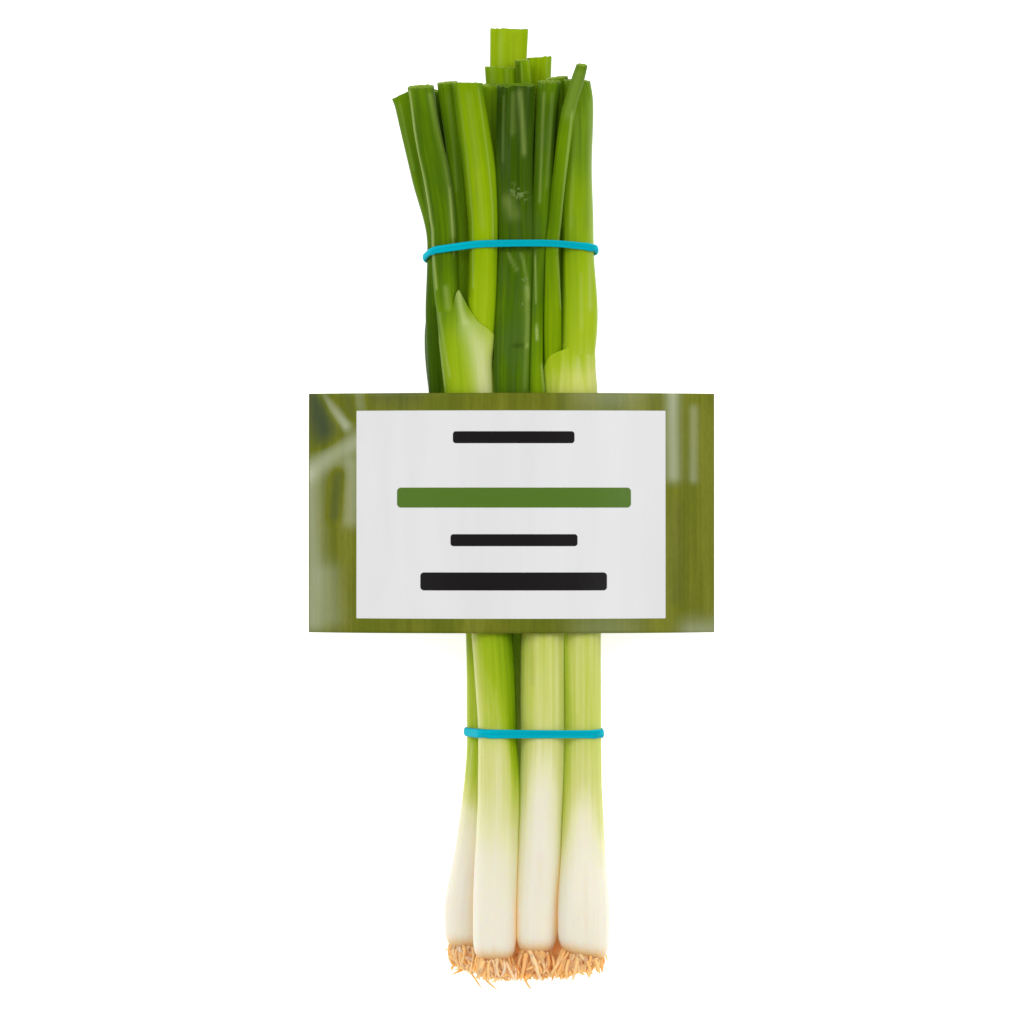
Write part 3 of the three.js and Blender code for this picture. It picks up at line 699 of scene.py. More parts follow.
def draw_tight(points, centre, onion, rim, inward, tucked):
    """Draws the top of a sheath, which is taut, onto the leaves that it holds."""
    zone = np.flatnonzero(points[:, 1] > rim.min() - SHEATH_FIT)
    heights = np.arange(rim.min() - SHEATH_FIT - 1, rim.max() + 2)
    directions = np.linspace(-math.pi, math.pi, REACH_DIRECTIONS, endpoint=False)
    reach = leaves_reach(onion, heights, directions)
    y = points[zone, 1]
    level = np.clip(y - heights[0], 0, len(heights) - 1.001)
    low = level.astype(int)
    part = (level - low)[:, None]
    support = reach[low] * (1 - part) + reach[low + 1] * part
    axis = centre[zone]
    support = support - np.cos(directions) * axis[:, :1] - np.sin(directions) * axis[:, 1:]
    dx, dz = points[zone, 0] - axis[:, 0], points[zone, 2] - axis[:, 1]
    facing = np.cos(directions - np.arctan2(dz, dx)[:, None])
    taut = np.where(facing > 0.05, support / np.maximum(facing, 0.05), 1e9).min(axis=1)
    radius = np.hypot(dx, dz)
    fit = ease(y, rim[zone] - SHEATH_FIT, rim[zone] - RIM_TAUT)
    drawn = (1 - fit) * radius + fit * (taut + SHEATH_SLACK + SHEATH_WALL - inward[zone])
    drawn -= RIM_TUCK * tucked[zone] * ease(y, rim[zone] - TUCK_DEPTH, rim[zone])
    points[zone, 0] = axis[:, 0] + dx * drawn / radius
    points[zone, 2] = axis[:, 1] + dz * drawn / radius
    return points


def grow_shaft(onion, facts, rng):
    """Lays one shaft: the bulb's rounded foot, the swelling belly, the neck and the taut rim."""
    belly = facts["sections"][0]
    foot = [
        (facts["foot"] + rise, belly[1], belly[2], belly[3] * share, belly[4] * share)
        for rise, share in BULB_FOOT
    ]
    sections = foot + facts["sections"]
    rim_angles, rim_heights = np.array(facts["rim"], float).T
    top, low = rim_heights.max(), rim_heights.min() - RIM_FELT
    curl = facts["foot"] + np.linspace(0, FOOT_CURL, 6)
    above = curl[-1] + FOOT_CURL / 4
    upper, upper_inset = wall_heights(above, top, SHAFT_STEP, SHEATH_WALL, SHEATH_DEPTH)
    heights = np.concatenate([curl, upper])
    inset = np.concatenate([curl * 0, upper_inset])
    bm = straight_tube(len(heights), SHAFT_SIDES)
    ring, angle = tube_places(bm)
    y, inward = heights[ring], inset[ring]

    # The rim is higher on some sides, and every ring near it is drawn up or down with it.
    rim = np.interp(np.degrees(angle) % 360, rim_angles, rim_heights)
    y = y + (rim - top) * np.clip((y - low) / (top - low), 0, 1)
    nicks = RIM_NICKS * waves(angle, y * 0, rng, turns=14, length=60)
    y = y + nicks * np.clip((y - rim + RIM_FELT) / RIM_FELT, 0, 1)

    risen = y - facts["foot"]
    ribs = SHAFT_RIBS * waves(angle, y, rng, turns=24, length=90, count=12)
    swell = SHAFT_SWELL * waves(angle, y, rng, turns=3, length=28)
    plump = BULB_PLUMP * ease(-y, *BULB_SHOULDER)
    grow = (ribs + swell) * np.clip(risen / FOOT_CALM, 0, 1) + plump - inward
    measures = follow(sections, y)
    bent_x, bent_z, across, up, pale = lay_skin(
        measures, angle, y, grow, ROUNDNESS, facts.get("marks", [])
    )
    slope = facts.get("foot_tilt", 0) * (bent_x - belly[1]) * (1 - ease(risen, 0, FOOT_CALM))
    points = np.column_stack([bent_x, y + slope, bent_z])
    tucked = np.interp(np.degrees(angle) % 360, *np.array(facts.get("tucked", [(0, 0)]), float).T)
    points = draw_tight(points, measures[:, :2], onion, rim, inward, tucked)
    points = press_in(points, onion, "shaft")

    # The foot is as tan as the roots that it bears.
    green = side_blend(facts["green"], y, angle) * np.interp(risen, FOOT_TAN, (0, 1)) ** 0.8
    # The sheath's inner wall gets a little painted shade.
    cut = np.where(inward > 0, SHEATH_INSIDE, 0)
    grain = straight_grain(across, y, up, rng)
    values = {"green": green, "cut": cut, "grain": grain, "pale": pale, "scuff": pale * 0}
    piece = finish_limb(f"onion_{onion}_shaft_skin", bm, points, values)
    limbs.append({
        "onion": onion, "kind": "shaft", "sections": sections, "power": ROUNDNESS, "piece": piece,
        "deep": facts.get("deep", 0),
    })
    return piece


def shaft_piece(onion, seed):
    piece = grow_shaft(onion, SHAFTS[onion], np.random.default_rng(seed))
    piece.data.materials.append(bulb_skin)
    piece.data.materials.append(sheath_skin)
    # The two skins meet halfway up, under the label.
    for face in piece.data.polygons:
        face.material_index = int(face.center.y > 0)
    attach(piece, "root")
    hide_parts(f"onion_{onion}_shaft")


# ---- Leaves ----
# A leaf is a hollow green tube with a thin wall, pressed flat by its neighbours and cut nearly
# straight across. It is grown as a shaft is, and folded in at the cut, so that its mouth is open.
# The leaves on top are laid first, and what lies under or beside them is dented to fit.

# A leaf's wall, how far its mouth goes down, how uneven it is, and how its cut is marked.
LEAF_SIDES = 88
LEAF_STEP = 1.2
LEAF_WALL = 0.45
LEAF_DEPTH = 14
LEAF_RIBS = 0.03
LEAF_SWELL = 0.12
CUT_FELT = 4
# CUT_INSIDE paints the inside of a leaf's mouth with painted shade; CUT_RIM gives the cut rim its own
# pale tone.
CUT_INSIDE = 0.5
CUT_RIM = 0.85

# Each leaf: its onion and number, skin, squareness, how its cut leans back and sideways, how rough
# the cut is, sections (height, across, up, width, depth and lean in degrees), and green and marks
# as for the shafts. scuffs: how wide a rubbed place is, and its points.
# As on the shafts, the green values hold some painted shade: a leaf that lies low in shade, as onion
# a's first leaf does, is set darker green.
LEAVES = [
    {
        "leaf": ("d", 2), "skin": "bright", "square": 2.1, "cut": (0.35, -0.1, 0.05),
        "sections": [
            (38, 12.3, 16.2, 4.8, 4.8), (57, 12.3, 17.4, 5.4, 5), (68, 12.1, 17.9, 4.8, 4.8),
            (77, 12.0, 18.4, 4.2, 4.7), (86, 13.0, 18.8, 3.9, 4.6), (99, 14.3, 19.3, 4.2, 4.4),
            (118, 16.9, 19.8, 4.3, 4.1), (128, 19.7, 19.9, 4.1, 3.9),
            (132.6, 21.0, 19.8, 3.4, 3.2),
        ],
        "green": [
            (45, 0.78, 0.76, 0.74), (62, 0.80, 0.76, 0.74), (84, 0.87, 0.85, 0.83),
            (110, 0.85, 0.83, 0.82), (133, 0.86, 0.86, 0.88),
        ],
        "marks": [
            # Painted highlights along the leaf's right edge.
            (0.35, 0.06, 0.50, [(18.0, 118), (16.1, 100.6), (14.6, 84.6), (13.6, 77)]),
            (0.35, 0.04, 0.40, [(13.6, 76), (14.2, 68.5), (14.8, 60)]),
            (1.8, 0.0, 0.20, [(20.0, 130), (17.4, 118)]),
        ],
    },
    {
        "leaf": ("c", 1), "skin": "worn", "square": 2.5, "cut": (0.26, 0.0, 0.30),
        "sections": [
            (8, 1.9, 17.1, 6.6, 7.4), (35, 0.0, 16.7, 10.9, 7.6), (57, 0.6, 17.0, 11.3, 7.2),
            (79, 1.3, 17.5, 10.3, 7), (99, 0.9, 17.6, 10.9, 7), (126.8, 1.4, 17.2, 11.5, 6.4),
        ],
        "green": [
            (36, 0.92, 0.93, 0.88), (60, 0.91, 0.92, 0.88), (90, 0.96, 0.97, 0.94),
            (108, 1.0, 0.99, 0.97), (127, 1.0),
        ],
        "marks": [
            (0.75, 0.16, 0.33, [(2.5, 125), (3.2, 116), (3.7, 106)]),
            (0.7, 0.10, 0.18, [(0.5, 124), (0.4, 112)]),
            (0.5, 0.08, 0.10, [(-2.4, 123), (-2.6, 112), (-2.7, 104)]),
            (2.0, 0.00, 0.22, [(-1.2, 92), (0.6, 88)]),
            (0.50, 0.06, 0.30, [(-1.8, 79), (-0.2, 74.6), (1.7, 71.2)]),
            (0.50, 0.06, 0.28, [(2.0, 79), (3.6, 73.8), (4.6, 68.5), (5.1, 63)]),
            (0.8, 0.05, 0.46, [(4.6, 66), (4.9, 57), (4.6, 49)]),
            (0.6, 0.05, 0.30, [(4.5, 48), (4.1, 36)]),
            (0.30, -0.15, -0.55, [(0.2, 48.5), (2.4, 48.9), (4.2, 48.3)]),
            (0.28, 0.05, 0.75, [(4.6, 48.8), (4.9, 48.3)]),
            # Painted shade along the leaf's left edge, and below it a painted shadow of the upper band.
            (0.7, 0.0, -0.35, [(-3.9, 122), (-4.2, 100), (-4.3, 80), (-4.8, 60), (-5.0, 36)]),
            (0.8, 0.0, -0.75, [(-4.4, 77.8), (5.6, 77.8)]),
        ],
        "scuffs": [
            (1.0, [(0.6, 95.6), (1.9, 94.8), (4.4, 93.0)]),
            (0.7, [(1.2, 93.6), (0.8, 92.6)]),
            (0.6, [(3.2, 69.2), (4.4, 68.0), (4.6, 66.4)]),
            (0.5, [(3.2, 62), (3.4, 60.6)]),
        ],
    },
    {
        "leaf": ("b", 2), "skin": "bright", "square": 2.9, "cut": (0.10, -0.02, 0.07),
        "sections": [
            (40, -9.7, 15.7, 6.4, 5.0), (50, -9.25, 16.4, 7.5, 6.2), (62, -8.9, 17.0, 8.6, 6.4),
            (82, -8.4, 17.9, 9.0, 6.2), (99, -9.4, 18.1, 9.7, 6), (114, -11.3, 17.8, 9.8, 5.8),
            (127.4, -13.2, 17.4, 9.3, 5.4),
        ],
        "green": [(54, 0.74, 0.63, 0.71), (80, 0.80, 0.69, 0.77), (127, 0.86, 0.76, 0.83)],
        "marks": [
            # Painted shade along the leaf's left facet.
            (0.8, 0.0, -0.30, [(-17.0, 126), (-14.6, 106), (-12.6, 86), (-12.7, 64)]),
            (0.28, 0.05, 0.22, [(-16.0, 126), (-13.4, 106), (-11.6, 86), (-11.5, 66)]),
            (0.28, 0.05, 0.22, [(-9.9, 126), (-7.2, 106), (-5.6, 90), (-5.4, 78)]),
            (0.9, 0.0, 0.10, [(-12.9, 124), (-10.4, 104), (-8.6, 84)]),
        ],
    },
    {
        "leaf": ("b", 1), "skin": "dark", "square": 2.3, "cut": (0.26, 0.02, 0.08),
        "sections": [
            (46, -17.5, 15.4, 5.6, 7.2), (66, -19.6, 15.6, 7.2, 7.2, -12),
            (83, -20.2, 15.0, 8.0, 6.8, -16), (99, -22.3, 14.6, 8.2, 6.6, -16),
            (114, -25.4, 13.8, 8.0, 6.2, -12), (126.6, -27.2, 13.0, 7.9, 5.8, -10),
        ],
        "green": [
            (54, 0.84, 0.76, 0.70), (64, 0.86, 0.86, 0.76), (76, 0.88, 0.91, 0.86),
            (100, 0.88, 0.91, 0.88), (118, 0.88, 0.91, 0.90), (127, 0.86, 0.87, 0.86),
        ],
        "marks": [
            # Painted highlights along the leaf's left edge and its right third.
            (0.34, 0.12, 0.62, [
                (-30.5, 126), (-29.7, 119.8), (-29.0, 113.7), (-27.8, 106), (-25.9, 98),
                (-24.7, 91), (-24.1, 86.5), (-23.5, 83.6), (-23.3, 76), (-22.4, 66),
            ]),
            (0.9, 0.12, 0.26, [(-24.2, 124), (-22.6, 116.7), (-20.0, 106), (-18.2, 95.3), (-17.5, 82)]),
            (0.35, 0.04, 0.30, [(-18.6, 96), (-17.7, 84), (-17.2, 76)]),
            (0.8, 0.0, 0.35, [(-19.6, 66), (-18.9, 60)]),
        ],
    },
    {
        "leaf": ("c", 2), "skin": "worn", "square": 2.2, "cut": (0.24, 0.03, 0.22),
        "sections": [
            (8, 7.4, 17, 3.2, 6.4), (35, 7.7, 16.9, 4.7, 6.6), (44, 7.4, 16.9, 4.1, 6.4),
            (57, 7.5, 17.0, 4.0, 6.2), (79, 8.5, 17.3, 4.8, 5.8), (99, 9.4, 17.4, 5.5, 5.8),
            (127.8, 11.2, 17.0, 7.1, 5.4),
        ],
        "green": [
            (36, 0.84, 0.80, 0.78), (50, 0.88, 0.84, 0.82), (62, 0.92, 0.90, 0.90),
            (90, 0.93, 0.91, 0.93), (120, 0.97, 0.95, 0.98), (128, 0.90, 0.88, 0.92),
        ],
        "marks": [
            (0.30, 0.08, 0.40, [(7.0, 76), (7.2, 70), (7.3, 62)]),
            (0.42, 0.05, 0.85, [(7.5, 54.4), (7.7, 50.6)]),
            (0.35, 0.05, 0.60, [(9.0, 43), (9.4, 39), (9.8, 35)]),
            (0.5, 0.10, 0.26, [(9.6, 124), (9.0, 108), (8.4, 92)]),
            (0.5, 0.08, 0.22, [(12.2, 124), (11.4, 110), (10.6, 96)]),
        ],
        "scuffs": [(0.6, [(7.6, 54), (7.8, 51)])],
    },
    {
        "leaf": ("d", 1), "skin": "waxy", "square": 2.4, "cut": (0.16, -0.05, 0.10),
        "sections": [
            (38, 19.9, 15.1, 8.8, 7.6), (57, 20.25, 15.4, 10.8, 8), (79, 19.8, 15.3, 9.8, 8),
            (99, 19.4, 14.9, 9.6, 7.6), (122, 19.7, 14.1, 9.0, 7), (128.4, 19.5, 13.9, 8.0, 6.4),
        ],
        "green": [
            (44, 0.66, 0.54, 0.54), (54, 0.74, 0.60, 0.60), (66, 0.78, 0.66, 0.66),
            (84, 0.82, 0.74, 0.74), (104, 0.86, 0.82, 0.80), (128, 0.88, 0.84, 0.83),
        ],
        "marks": [
            (0.7, 0.05, 0.22, [(23.6, 122), (23.4, 100), (23.5, 80), (23.6, 60)]),
            (0.6, 0.05, 0.14, [(19.4, 118), (18.4, 100), (17.6, 84)]),
            (0.5, 0.0, 0.14, [(20.8, 70), (20.9, 54)]),
            # Painted shade in the gap beside leaf d2.
            (0.5, 0.0, -0.45, [(15.3, 79), (15.5, 60), (15.4, 50)]),
        ],
    },
    {
        "leaf": ("b", 3), "skin": "dark", "square": 2.2, "cut": (0.20, 0.10, 0.08),
        "sections": [
            (46, -13.9, 12.6, 5, 2.6), (64, -14.9, 12.8, 5.6, 4.2), (82, -15, 12.6, 6, 4.8),
            (99, -15.9, 12.8, 6, 5), (127.8, -19.2, 13.2, 6, 5.2),
        ],
        "green": [(60, 0.84, 0.82, 0.82), (110, 0.92, 0.90, 0.92), (127, 0.88, 0.86, 0.88)],
        "marks": [(0.5, 0.05, 0.15, [(-19.0, 124), (-17.4, 110), (-16.4, 96)])],
    },
    {
        "leaf": ("a", 1), "skin": "dark", "square": 2.3, "cut": (0.16, 0.46, 0.06),
        "sections": [
            (-2, -14.6, 8.4, 7.4, 3.4), (35, -21.2, 11.2, 7, 5.6), (58, -22.2, 11, 7.2, 6),
            (79, -22.0, 10.0, 6.4, 6.2, -20), (99, -26.5, 9, 7, 5.8, -15),
            (125, -32.1, 7.8, 7.8, 5.4, -10),
        ],
        "green": [
            (36, 0.96, 0.96, 1.0), (66, 0.93, 0.94, 0.96), (84, 0.88),
            (110, 0.88), (124, 0.85, 0.84, 0.86),
        ],
        "marks": [
            (0.8, 0.0, 0.26, [(-25.8, 98), (-25.0, 92), (-24.3, 87)]),
            # Painted shadow where the leaf lies beside onion b.
            (0.9, 0.0, -0.70, [(-23.0, 60), (-22.1, 49), (-20.9, 36)]),
            (0.5, 0.04, 0.16, [(-33.6, 122), (-31.6, 112), (-29.4, 102)]),
        ],
    },
    {
        "leaf": ("e", 1), "skin": "dark", "square": 2.2, "cut": (0.25, 0.0, 0.08),
        "sections": [
            (36, -6.5, 7.9, 7, 2.6), (79, -6.6, 12.1, 6.4, 4.8), (99, -6.5, 12.8, 6.4, 4.8),
            (127, -6, 13, 6.8, 4.6),
        ],
        "green": [(60, 0.90), (110, 0.88, 0.86, 0.90), (127, 0.80, 0.80, 0.86)],
    },
    {
        "leaf": ("f", 3), "skin": "dark", "square": 2.2, "cut": (0.16, 0.05, 0.06),
        "sections": [
            (34, 5.5, 7.9, 6.8, 2.4), (79, 8.2, 11.4, 6.4, 4.8), (99, 5.8, 11.7, 6, 4.6),
            (134.6, 3.2, 11.2, 4.2, 3.8),
        ],
        "green": [(60, 0.9), (128, 0.86, 0.82, 0.76), (134, 0.84, 0.80, 0.74)],
        "marks": [
            # A fold, with painted shade on its left side.
            (0.8, -0.25, -0.5, [(1.9, 134), (2.2, 128)]),
            (0.3, 0.1, 0.3, [(2.9, 134), (3.2, 128)]),
        ],
    },
    {
        "leaf": ("g", 1), "skin": "dark", "square": 2.2, "cut": (0.2, 0.12, 0.08),
        "sections": [
            (32, 16.4, 7.9, 7, 2.6), (79, 14.1, 11, 6.4, 4.6), (129.4, 13.6, 10.9, 6.8, 4.8),
        ],
        "green": [(60, 0.84), (129, 0.86, 0.84, 0.86)],
    },
    {
        "leaf": ("e", 2), "skin": "bright", "square": 2.4, "cut": (0.14, -0.04, 0.10),
        "sections": [
            (36, -4.3, 4.4, 3.6, 3.4), (79, 0.4, 10.4, 7.4, 4.4), (99, -1.2, 10.1, 8.2, 4.2),
            (132.6, -3.3, 9, 9.5, 4),
        ],
        "green": [(60, 0.84), (133, 0.81, 0.79, 0.79)],
        "marks": [
            (0.8, 0.0, 0.16, [(-6.0, 132), (-5.4, 126)]),
            (0.5, 0.0, 0.12, [(-1.4, 132), (-1.4, 126)]),
        ],
    },
    {
        "leaf": ("a", 2), "skin": "dark", "square": 2.3, "cut": (0.2, 0.0, 0.08),
        "sections": [
            (-2, -14.6, 4.2, 7.4, 3.2), (35, -21, 4.9, 7.4, 6), (52, -22.7, 5.3, 7, 6.2),
            (79, -18.6, 5.8, 7.8, 5.6), (126, -24.2, 3.4, 8.8, 5.4),
        ],
        "green": [(36, 0.96, 0.98, 1.0), (70, 0.96, 0.97, 0.98), (126, 0.9)],
    },
    {
        "leaf": ("f", 1), "skin": "bright", "square": 2.9, "cut": (0.08, -0.02, 0.14),
        "sections": [
            (34, 3, 4.4, 4, 3.6), (79, -1.5, 5.5, 8.8, 5.6), (99, -1.4, 4.9, 9.8, 5.4),
            (144.6, -0.7, 3.4, 11.4, 5),
        ],
        "green": [(60, 0.76), (128, 0.70, 0.64, 0.66), (144, 0.70, 0.66, 0.68)],
        "marks": [
            (0.6, 0.0, 0.14, [(-3.2, 143), (-3.4, 134)]),
            (0.4, 0.0, -0.12, [(0.8, 143), (0.6, 134)]),
        ],
    },
    {
        "leaf": ("f", 2), "skin": "bright", "square": 2.5, "cut": (0.08, 0.08, 0.08),
        "sections": [
            (34, 8.5, 4.4, 5.4, 3.6), (52, 8.9, 4.9, 7.4, 4.6), (79, 7.2, 5.5, 7.6, 5.8),
            (136.1, 8.4, 3.4, 7.6, 4.8),
        ],
        "green": [(60, 0.80), (135, 0.75, 0.73, 0.75)],
        "marks": [(0.3, 0.0, 0.2, [(10.6, 135), (10.7, 128)])],
    },
    {
        "leaf": ("g", 2), "skin": "dark", "square": 2.3, "cut": (0.2, 0.0, 0.08),
        "sections": [(32, 16.4, 4.1, 7, 2.8), (79, 16.8, 5.5, 9, 5.8), (125, 18.8, 3.9, 10, 6)],
        "green": [(60, 0.88), (125, 0.88)],
    },
    {
        "leaf": ("e", 3), "skin": "dark", "square": 2.3, "cut": (0.2, 0.0, 0.08),
        "sections": [
            (36, -8.8, 4.4, 3.6, 3.4), (79, -10.3, 6, 7.8, 6.2), (124, -13.2, 3.7, 8.8, 5.8),
        ],
        "green": [(60, 0.94), (124, 0.88)],
    },
]

# Leaves emit a faint painted glow in their crevices too.
LEAF_FLESH = {"flesh": 0.0, "glow": 0.2, "gloss_tint": (0.75, 1, 0.2, 1)}
LEAF_FINISHES = {
    "bright": {"streaks": 0.09, "bloom": 0.02, "gloss": 0.08, "relief": 0.3},
    "dark": {"streaks": 0.09, "bloom": 0.10, "gloss": 0.08, "relief": 0.35},
    "waxy": {"streaks": 0.09, "bloom": 0.16, "gloss": 0.24, "relief": 0.35},
    "worn": {"streaks": 0.11, "bloom": 0.38, "gloss": 0.12, "relief": 0.6},
}
leaf_skins = {
    kind: skin_material(f"{kind}_leaf", **finish, **LEAF_FLESH)
    for kind, finish in LEAF_FINISHES.items()
}


def grow_leaf(facts, rng):
    """Lays one leaf, from its base inside the sheath to the cut, and down inside its mouth."""
    onion, number = facts["leaf"]
    sections, power = facts["sections"], facts["square"]
    back, aside, rough = facts["cut"]
    base, top = sections[0][0], sections[-1][0]
    heights, inset = wall_heights(base, top, LEAF_STEP, LEAF_WALL, LEAF_DEPTH)
    bm = straight_tube(len(heights), LEAF_SIDES)
    ring, angle = tube_places(bm)
    y, inward = heights[ring], inset[ring]

    ribs = LEAF_RIBS * waves(angle, y, rng, turns=14, length=80, count=10)
    swell = LEAF_SWELL * waves(angle, y, rng, turns=3, length=26)
    bent_x, bent_z, across, up, pale = lay_skin(
        follow(sections, y), angle, y, ribs + swell - inward, power, facts.get("marks", [])
    )
    nicks = rough * waves(angle, y * 0, rng, turns=16, length=60, count=9)
    near_cut = np.clip((y - top + CUT_FELT) / CUT_FELT, 0, 1)
    y = y + (nicks + aside * across - back * up) * near_cut
    points = press_in(np.column_stack([bent_x, y, bent_z]), onion, "leaf")

    scuff = np.zeros(len(y))
    for width, path in facts.get("scuffs", []):
        near = np.exp(-((from_path(bent_x, y, path) / width) ** 2))
        scuff = np.maximum(scuff, near * (np.sin(angle) > FRONT_EDGE))
    green = side_blend(facts["green"], y, angle)
    from_end = len(heights) - ring - INNER_RINGS
    cut = np.where(inward > 0, np.where((from_end >= 1) & (from_end <= 3), CUT_RIM, CUT_INSIDE), 0)
    grain = straight_grain(across, y, up, rng)
    values = {"green": green, "cut": cut, "grain": grain, "pale": pale, "scuff": scuff}
    piece = finish_limb(f"onion_{onion}_leaf_{number}_skin", bm, points, values)
    limbs.append({
        "onion": onion, "kind": "leaf", "sections": sections, "power": power, "piece": piece,
        "deep": 0,
    })
    return piece


def leaf_piece(facts, seed):
    onion, number = facts["leaf"]
    piece = grow_leaf(facts, np.random.default_rng(seed))
    piece.data.materials.append(leaf_skins[facts["skin"]])
    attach(piece, "root")
    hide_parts(f"onion_{onion}_leaf_{number}")


TOP_LEAVES = 7
for number, facts in enumerate(LEAVES[:TOP_LEAVES]):
    leaf_piece(facts, 40 + number)
for onion in "dcb":
    shaft_piece(onion, ord(onion))
for number, facts in enumerate(LEAVES[TOP_LEAVES:], TOP_LEAVES):
    leaf_piece(facts, 40 + number)
for onion in "aefg":
    shaft_piece(onion, ord(onion))


# How near a limb's skin is to its neighbours, which the painted shade and painted glow of its crevices
# follow.
CREVICE_WIDTH = 2.2


def mark_crevices(limb):
    """Notes how close each point of a limb's skin is to the other limbs."""
    mesh = limb["piece"].data
    points = np.empty(len(mesh.vertices) * 3, np.float32)
    mesh.vertices.foreach_get("co", points)
    points = points.reshape(-1, 3).astype(float) / MM
    crevice = np.full(len(points), limb["deep"], float)
    for other, near in neighbours(points, limb["onion"], limb["kind"], own=limb):
        share, size, _, _ = beside(points[near], other, 0)
        space = np.maximum(share - 1, 0) * size
        crevice[near] = np.maximum(crevice[near], np.exp(-space / CREVICE_WIDTH))
    add_attribute(mesh, "crevice", crevice)


for limb in limbs:
    mark_crevices(limb)

# ---- Roots ----
# A dense tuft of trimmed roots grows from the foot of each bulb. They are tan, stiff and curved,
# and cross their neighbours' roots. Each root is a tapered tube, bent along a smooth curve, and all
# roots of a tuft are one piece.

# Widths and heights of a root, a tuft and the stubs over it; shares are of the bulb's half width.
ROOTS_SEEN = 230
ROOTS_HIDDEN = 90
ROOT_SIDES = 6
ROOT_RINGS = 9
ROOT_WIDTH = 1.15
ROOT_PLATE_SHARE = 0.76
ROOT_FLATNESS = 0.62
HANGING_SWAY = 0.25
STUB_SWAY = 0.1
BOLD_SWAY = 0.12
FOOT_DOME = 1.3
FOOT_EDGE = 0.85
STUBS = 36
STUB_RING = 0.72
TUFT_SHARE = 0.78
TABLE_GAP = 0.15

# How far roots differ from each other: in length, in how they spread outwards and drift sideways
# for their length, in thickness and in tint, where a few are much paler.
ROOT_LENGTHS = (0.74, 1.04)
ROOT_SPREAD = (-0.12, 0.24)
ROOT_DRIFT = 0.4
ROOT_THICKNESS = (0.5, 1.2)
ROOT_TINTS = (0.42, 0.7)
PALE_TINT, PALE_ROOTS = 0.85, 0.04
STUB_LENGTHS = (1.4, 3.8)
STUB_WIDTHS = (0.9, 1.5)
STUB_TINTS = (0.48, 0.76)

# tone: how much paler a tuft is. length: how far its roots hang. trim: how much shorter they are
# on its right than in its middle. lean: how far their ends drift to the right. bold: single roots
# on top of the tuft, each with its width and tint (0 brown to 1 pink-white), and where it starts,
# bends and ends: across, along and up.
TUFTS = {
    "a": {
        "tone": 0.1, "length": 8.0, "trim": -0.2, "lean": 2.0,
        "bold": [
            (0.75, 0.35, [(-15.6, -133.0, 12.0), (-12.6, -139.0, 12.4), (-8.7, -143.9, 10.4)]),
            (0.75, 0.30, [(-12.8, -133.4, 12.4), (-9.6, -140.0, 12.0), (-4.0, -144.3, 11.0)]),
            (0.6, 0.5, [(-17.6, -131.6, 9.0), (-19.0, -132.6, 9.0), (-20.0, -132.3, 9.4)]),
            (0.6, 0.5, [(-17.6, -132.0, 8.0), (-18.4, -133.6, 8.4), (-19.2, -135.2, 8.8)]),
            (0.8, 0.4, [(-16.6, -132.2, 7.4), (-17.4, -136.8, 8.0), (-17.9, -138.8, 8.4)]),
        ],
    },
    "b": {
        "tone": 0.05, "length": 6.4, "trim": -0.12,
        "bold": [
            (1.1, 0.75, [(-4.2, -134.8, 23.4), (-5.2, -138.6, 24.0), (-3.4, -139.6, 23.4)]),
            (1.0, 0.80, [(-2.4, -135.2, 23.2), (-1.2, -137.4, 24.0), (-3.2, -139.6, 23.2)]),
            (0.9, 0.85, [(-1.6, -135.4, 22.6), (-0.6, -137.6, 23.0), (1.0, -141.0, 21.6)]),
            (1.1, 0.6, [(-8.2, -134.8, 23.0), (-9.4, -138.4, 23.2), (-10.8, -140.6, 21.8)]),
            (1.0, 0.5, [(-6.6, -134.8, 23.6), (-7.4, -137.8, 24.0), (-7.0, -141.2, 22.4)]),
        ],
    },
    "c": {
        "tone": -0.09, "length": 8.2,
        "bold": [
            (1.35, 0.55, [(4.4, -132.6, 22.8), (3.8, -136.2, 23.6), (2.8, -140.8, 22.0)]),
            (1.3, 0.95, [(5.9, -132.8, 23.2), (6.7, -136.4, 24.0), (9.2, -140.9, 22.4)]),
            (1.2, 0.58, [(8.6, -132.8, 22.8), (9.6, -136.0, 23.4), (12.0, -139.6, 22.0)]),
            (0.7, 0.4, [(3.2, -137.4, 20.6), (3.8, -141.4, 20.8), (5.6, -143.4, 20.0)]),
            (1.1, 0.48, [(10.8, -133.2, 21.6), (11.6, -135.8, 22.6), (10.4, -139.0, 22.0)]),
        ],
    },
    "d": {
        "tone": -0.05, "length": 5.9, "trim": 0.6, "lean": -2.2,
        "bold": [
            (1.1, 0.6, [(17.2, -134.2, 25.6), (16.0, -137.4, 26.4), (16.2, -140.2, 24.8)]),
            (1.1, 0.7, [(19.6, -134.6, 26.6), (19.0, -137.6, 27.0), (18.2, -140.4, 25.4)]),
            (1.0, 0.55, [(22.6, -134.6, 26.6), (23.6, -137.2, 26.8), (23.0, -139.8, 25.4)]),
            (1.0, 0.65, [(25.0, -134.2, 25.6), (26.0, -136.6, 25.6), (26.4, -138.6, 24.2)]),
            (0.8, 0.45, [(14.4, -134.2, 22.4), (13.0, -138.0, 22.4), (12.0, -141.0, 21.0)]),
        ],
    },
    "e": {"length": 5.8, "bold": []},
    "f": {"length": 5.2, "bold": []},
    "g": {"length": 6.8, "bold": []},
}


ROOT_COLOURS = [
    (0.0, srgb(204, 114, 40)),
    (0.25, srgb(240, 166, 90)),
    (0.5, srgb(251, 197, 134)),
    (0.75, srgb(253, 212, 164)),
    (1.0, srgb(254, 226, 202)),
]
ROOT_FIBRE, ROOT_GLOW = srgb(226, 154, 82), srgb(230, 178, 124)


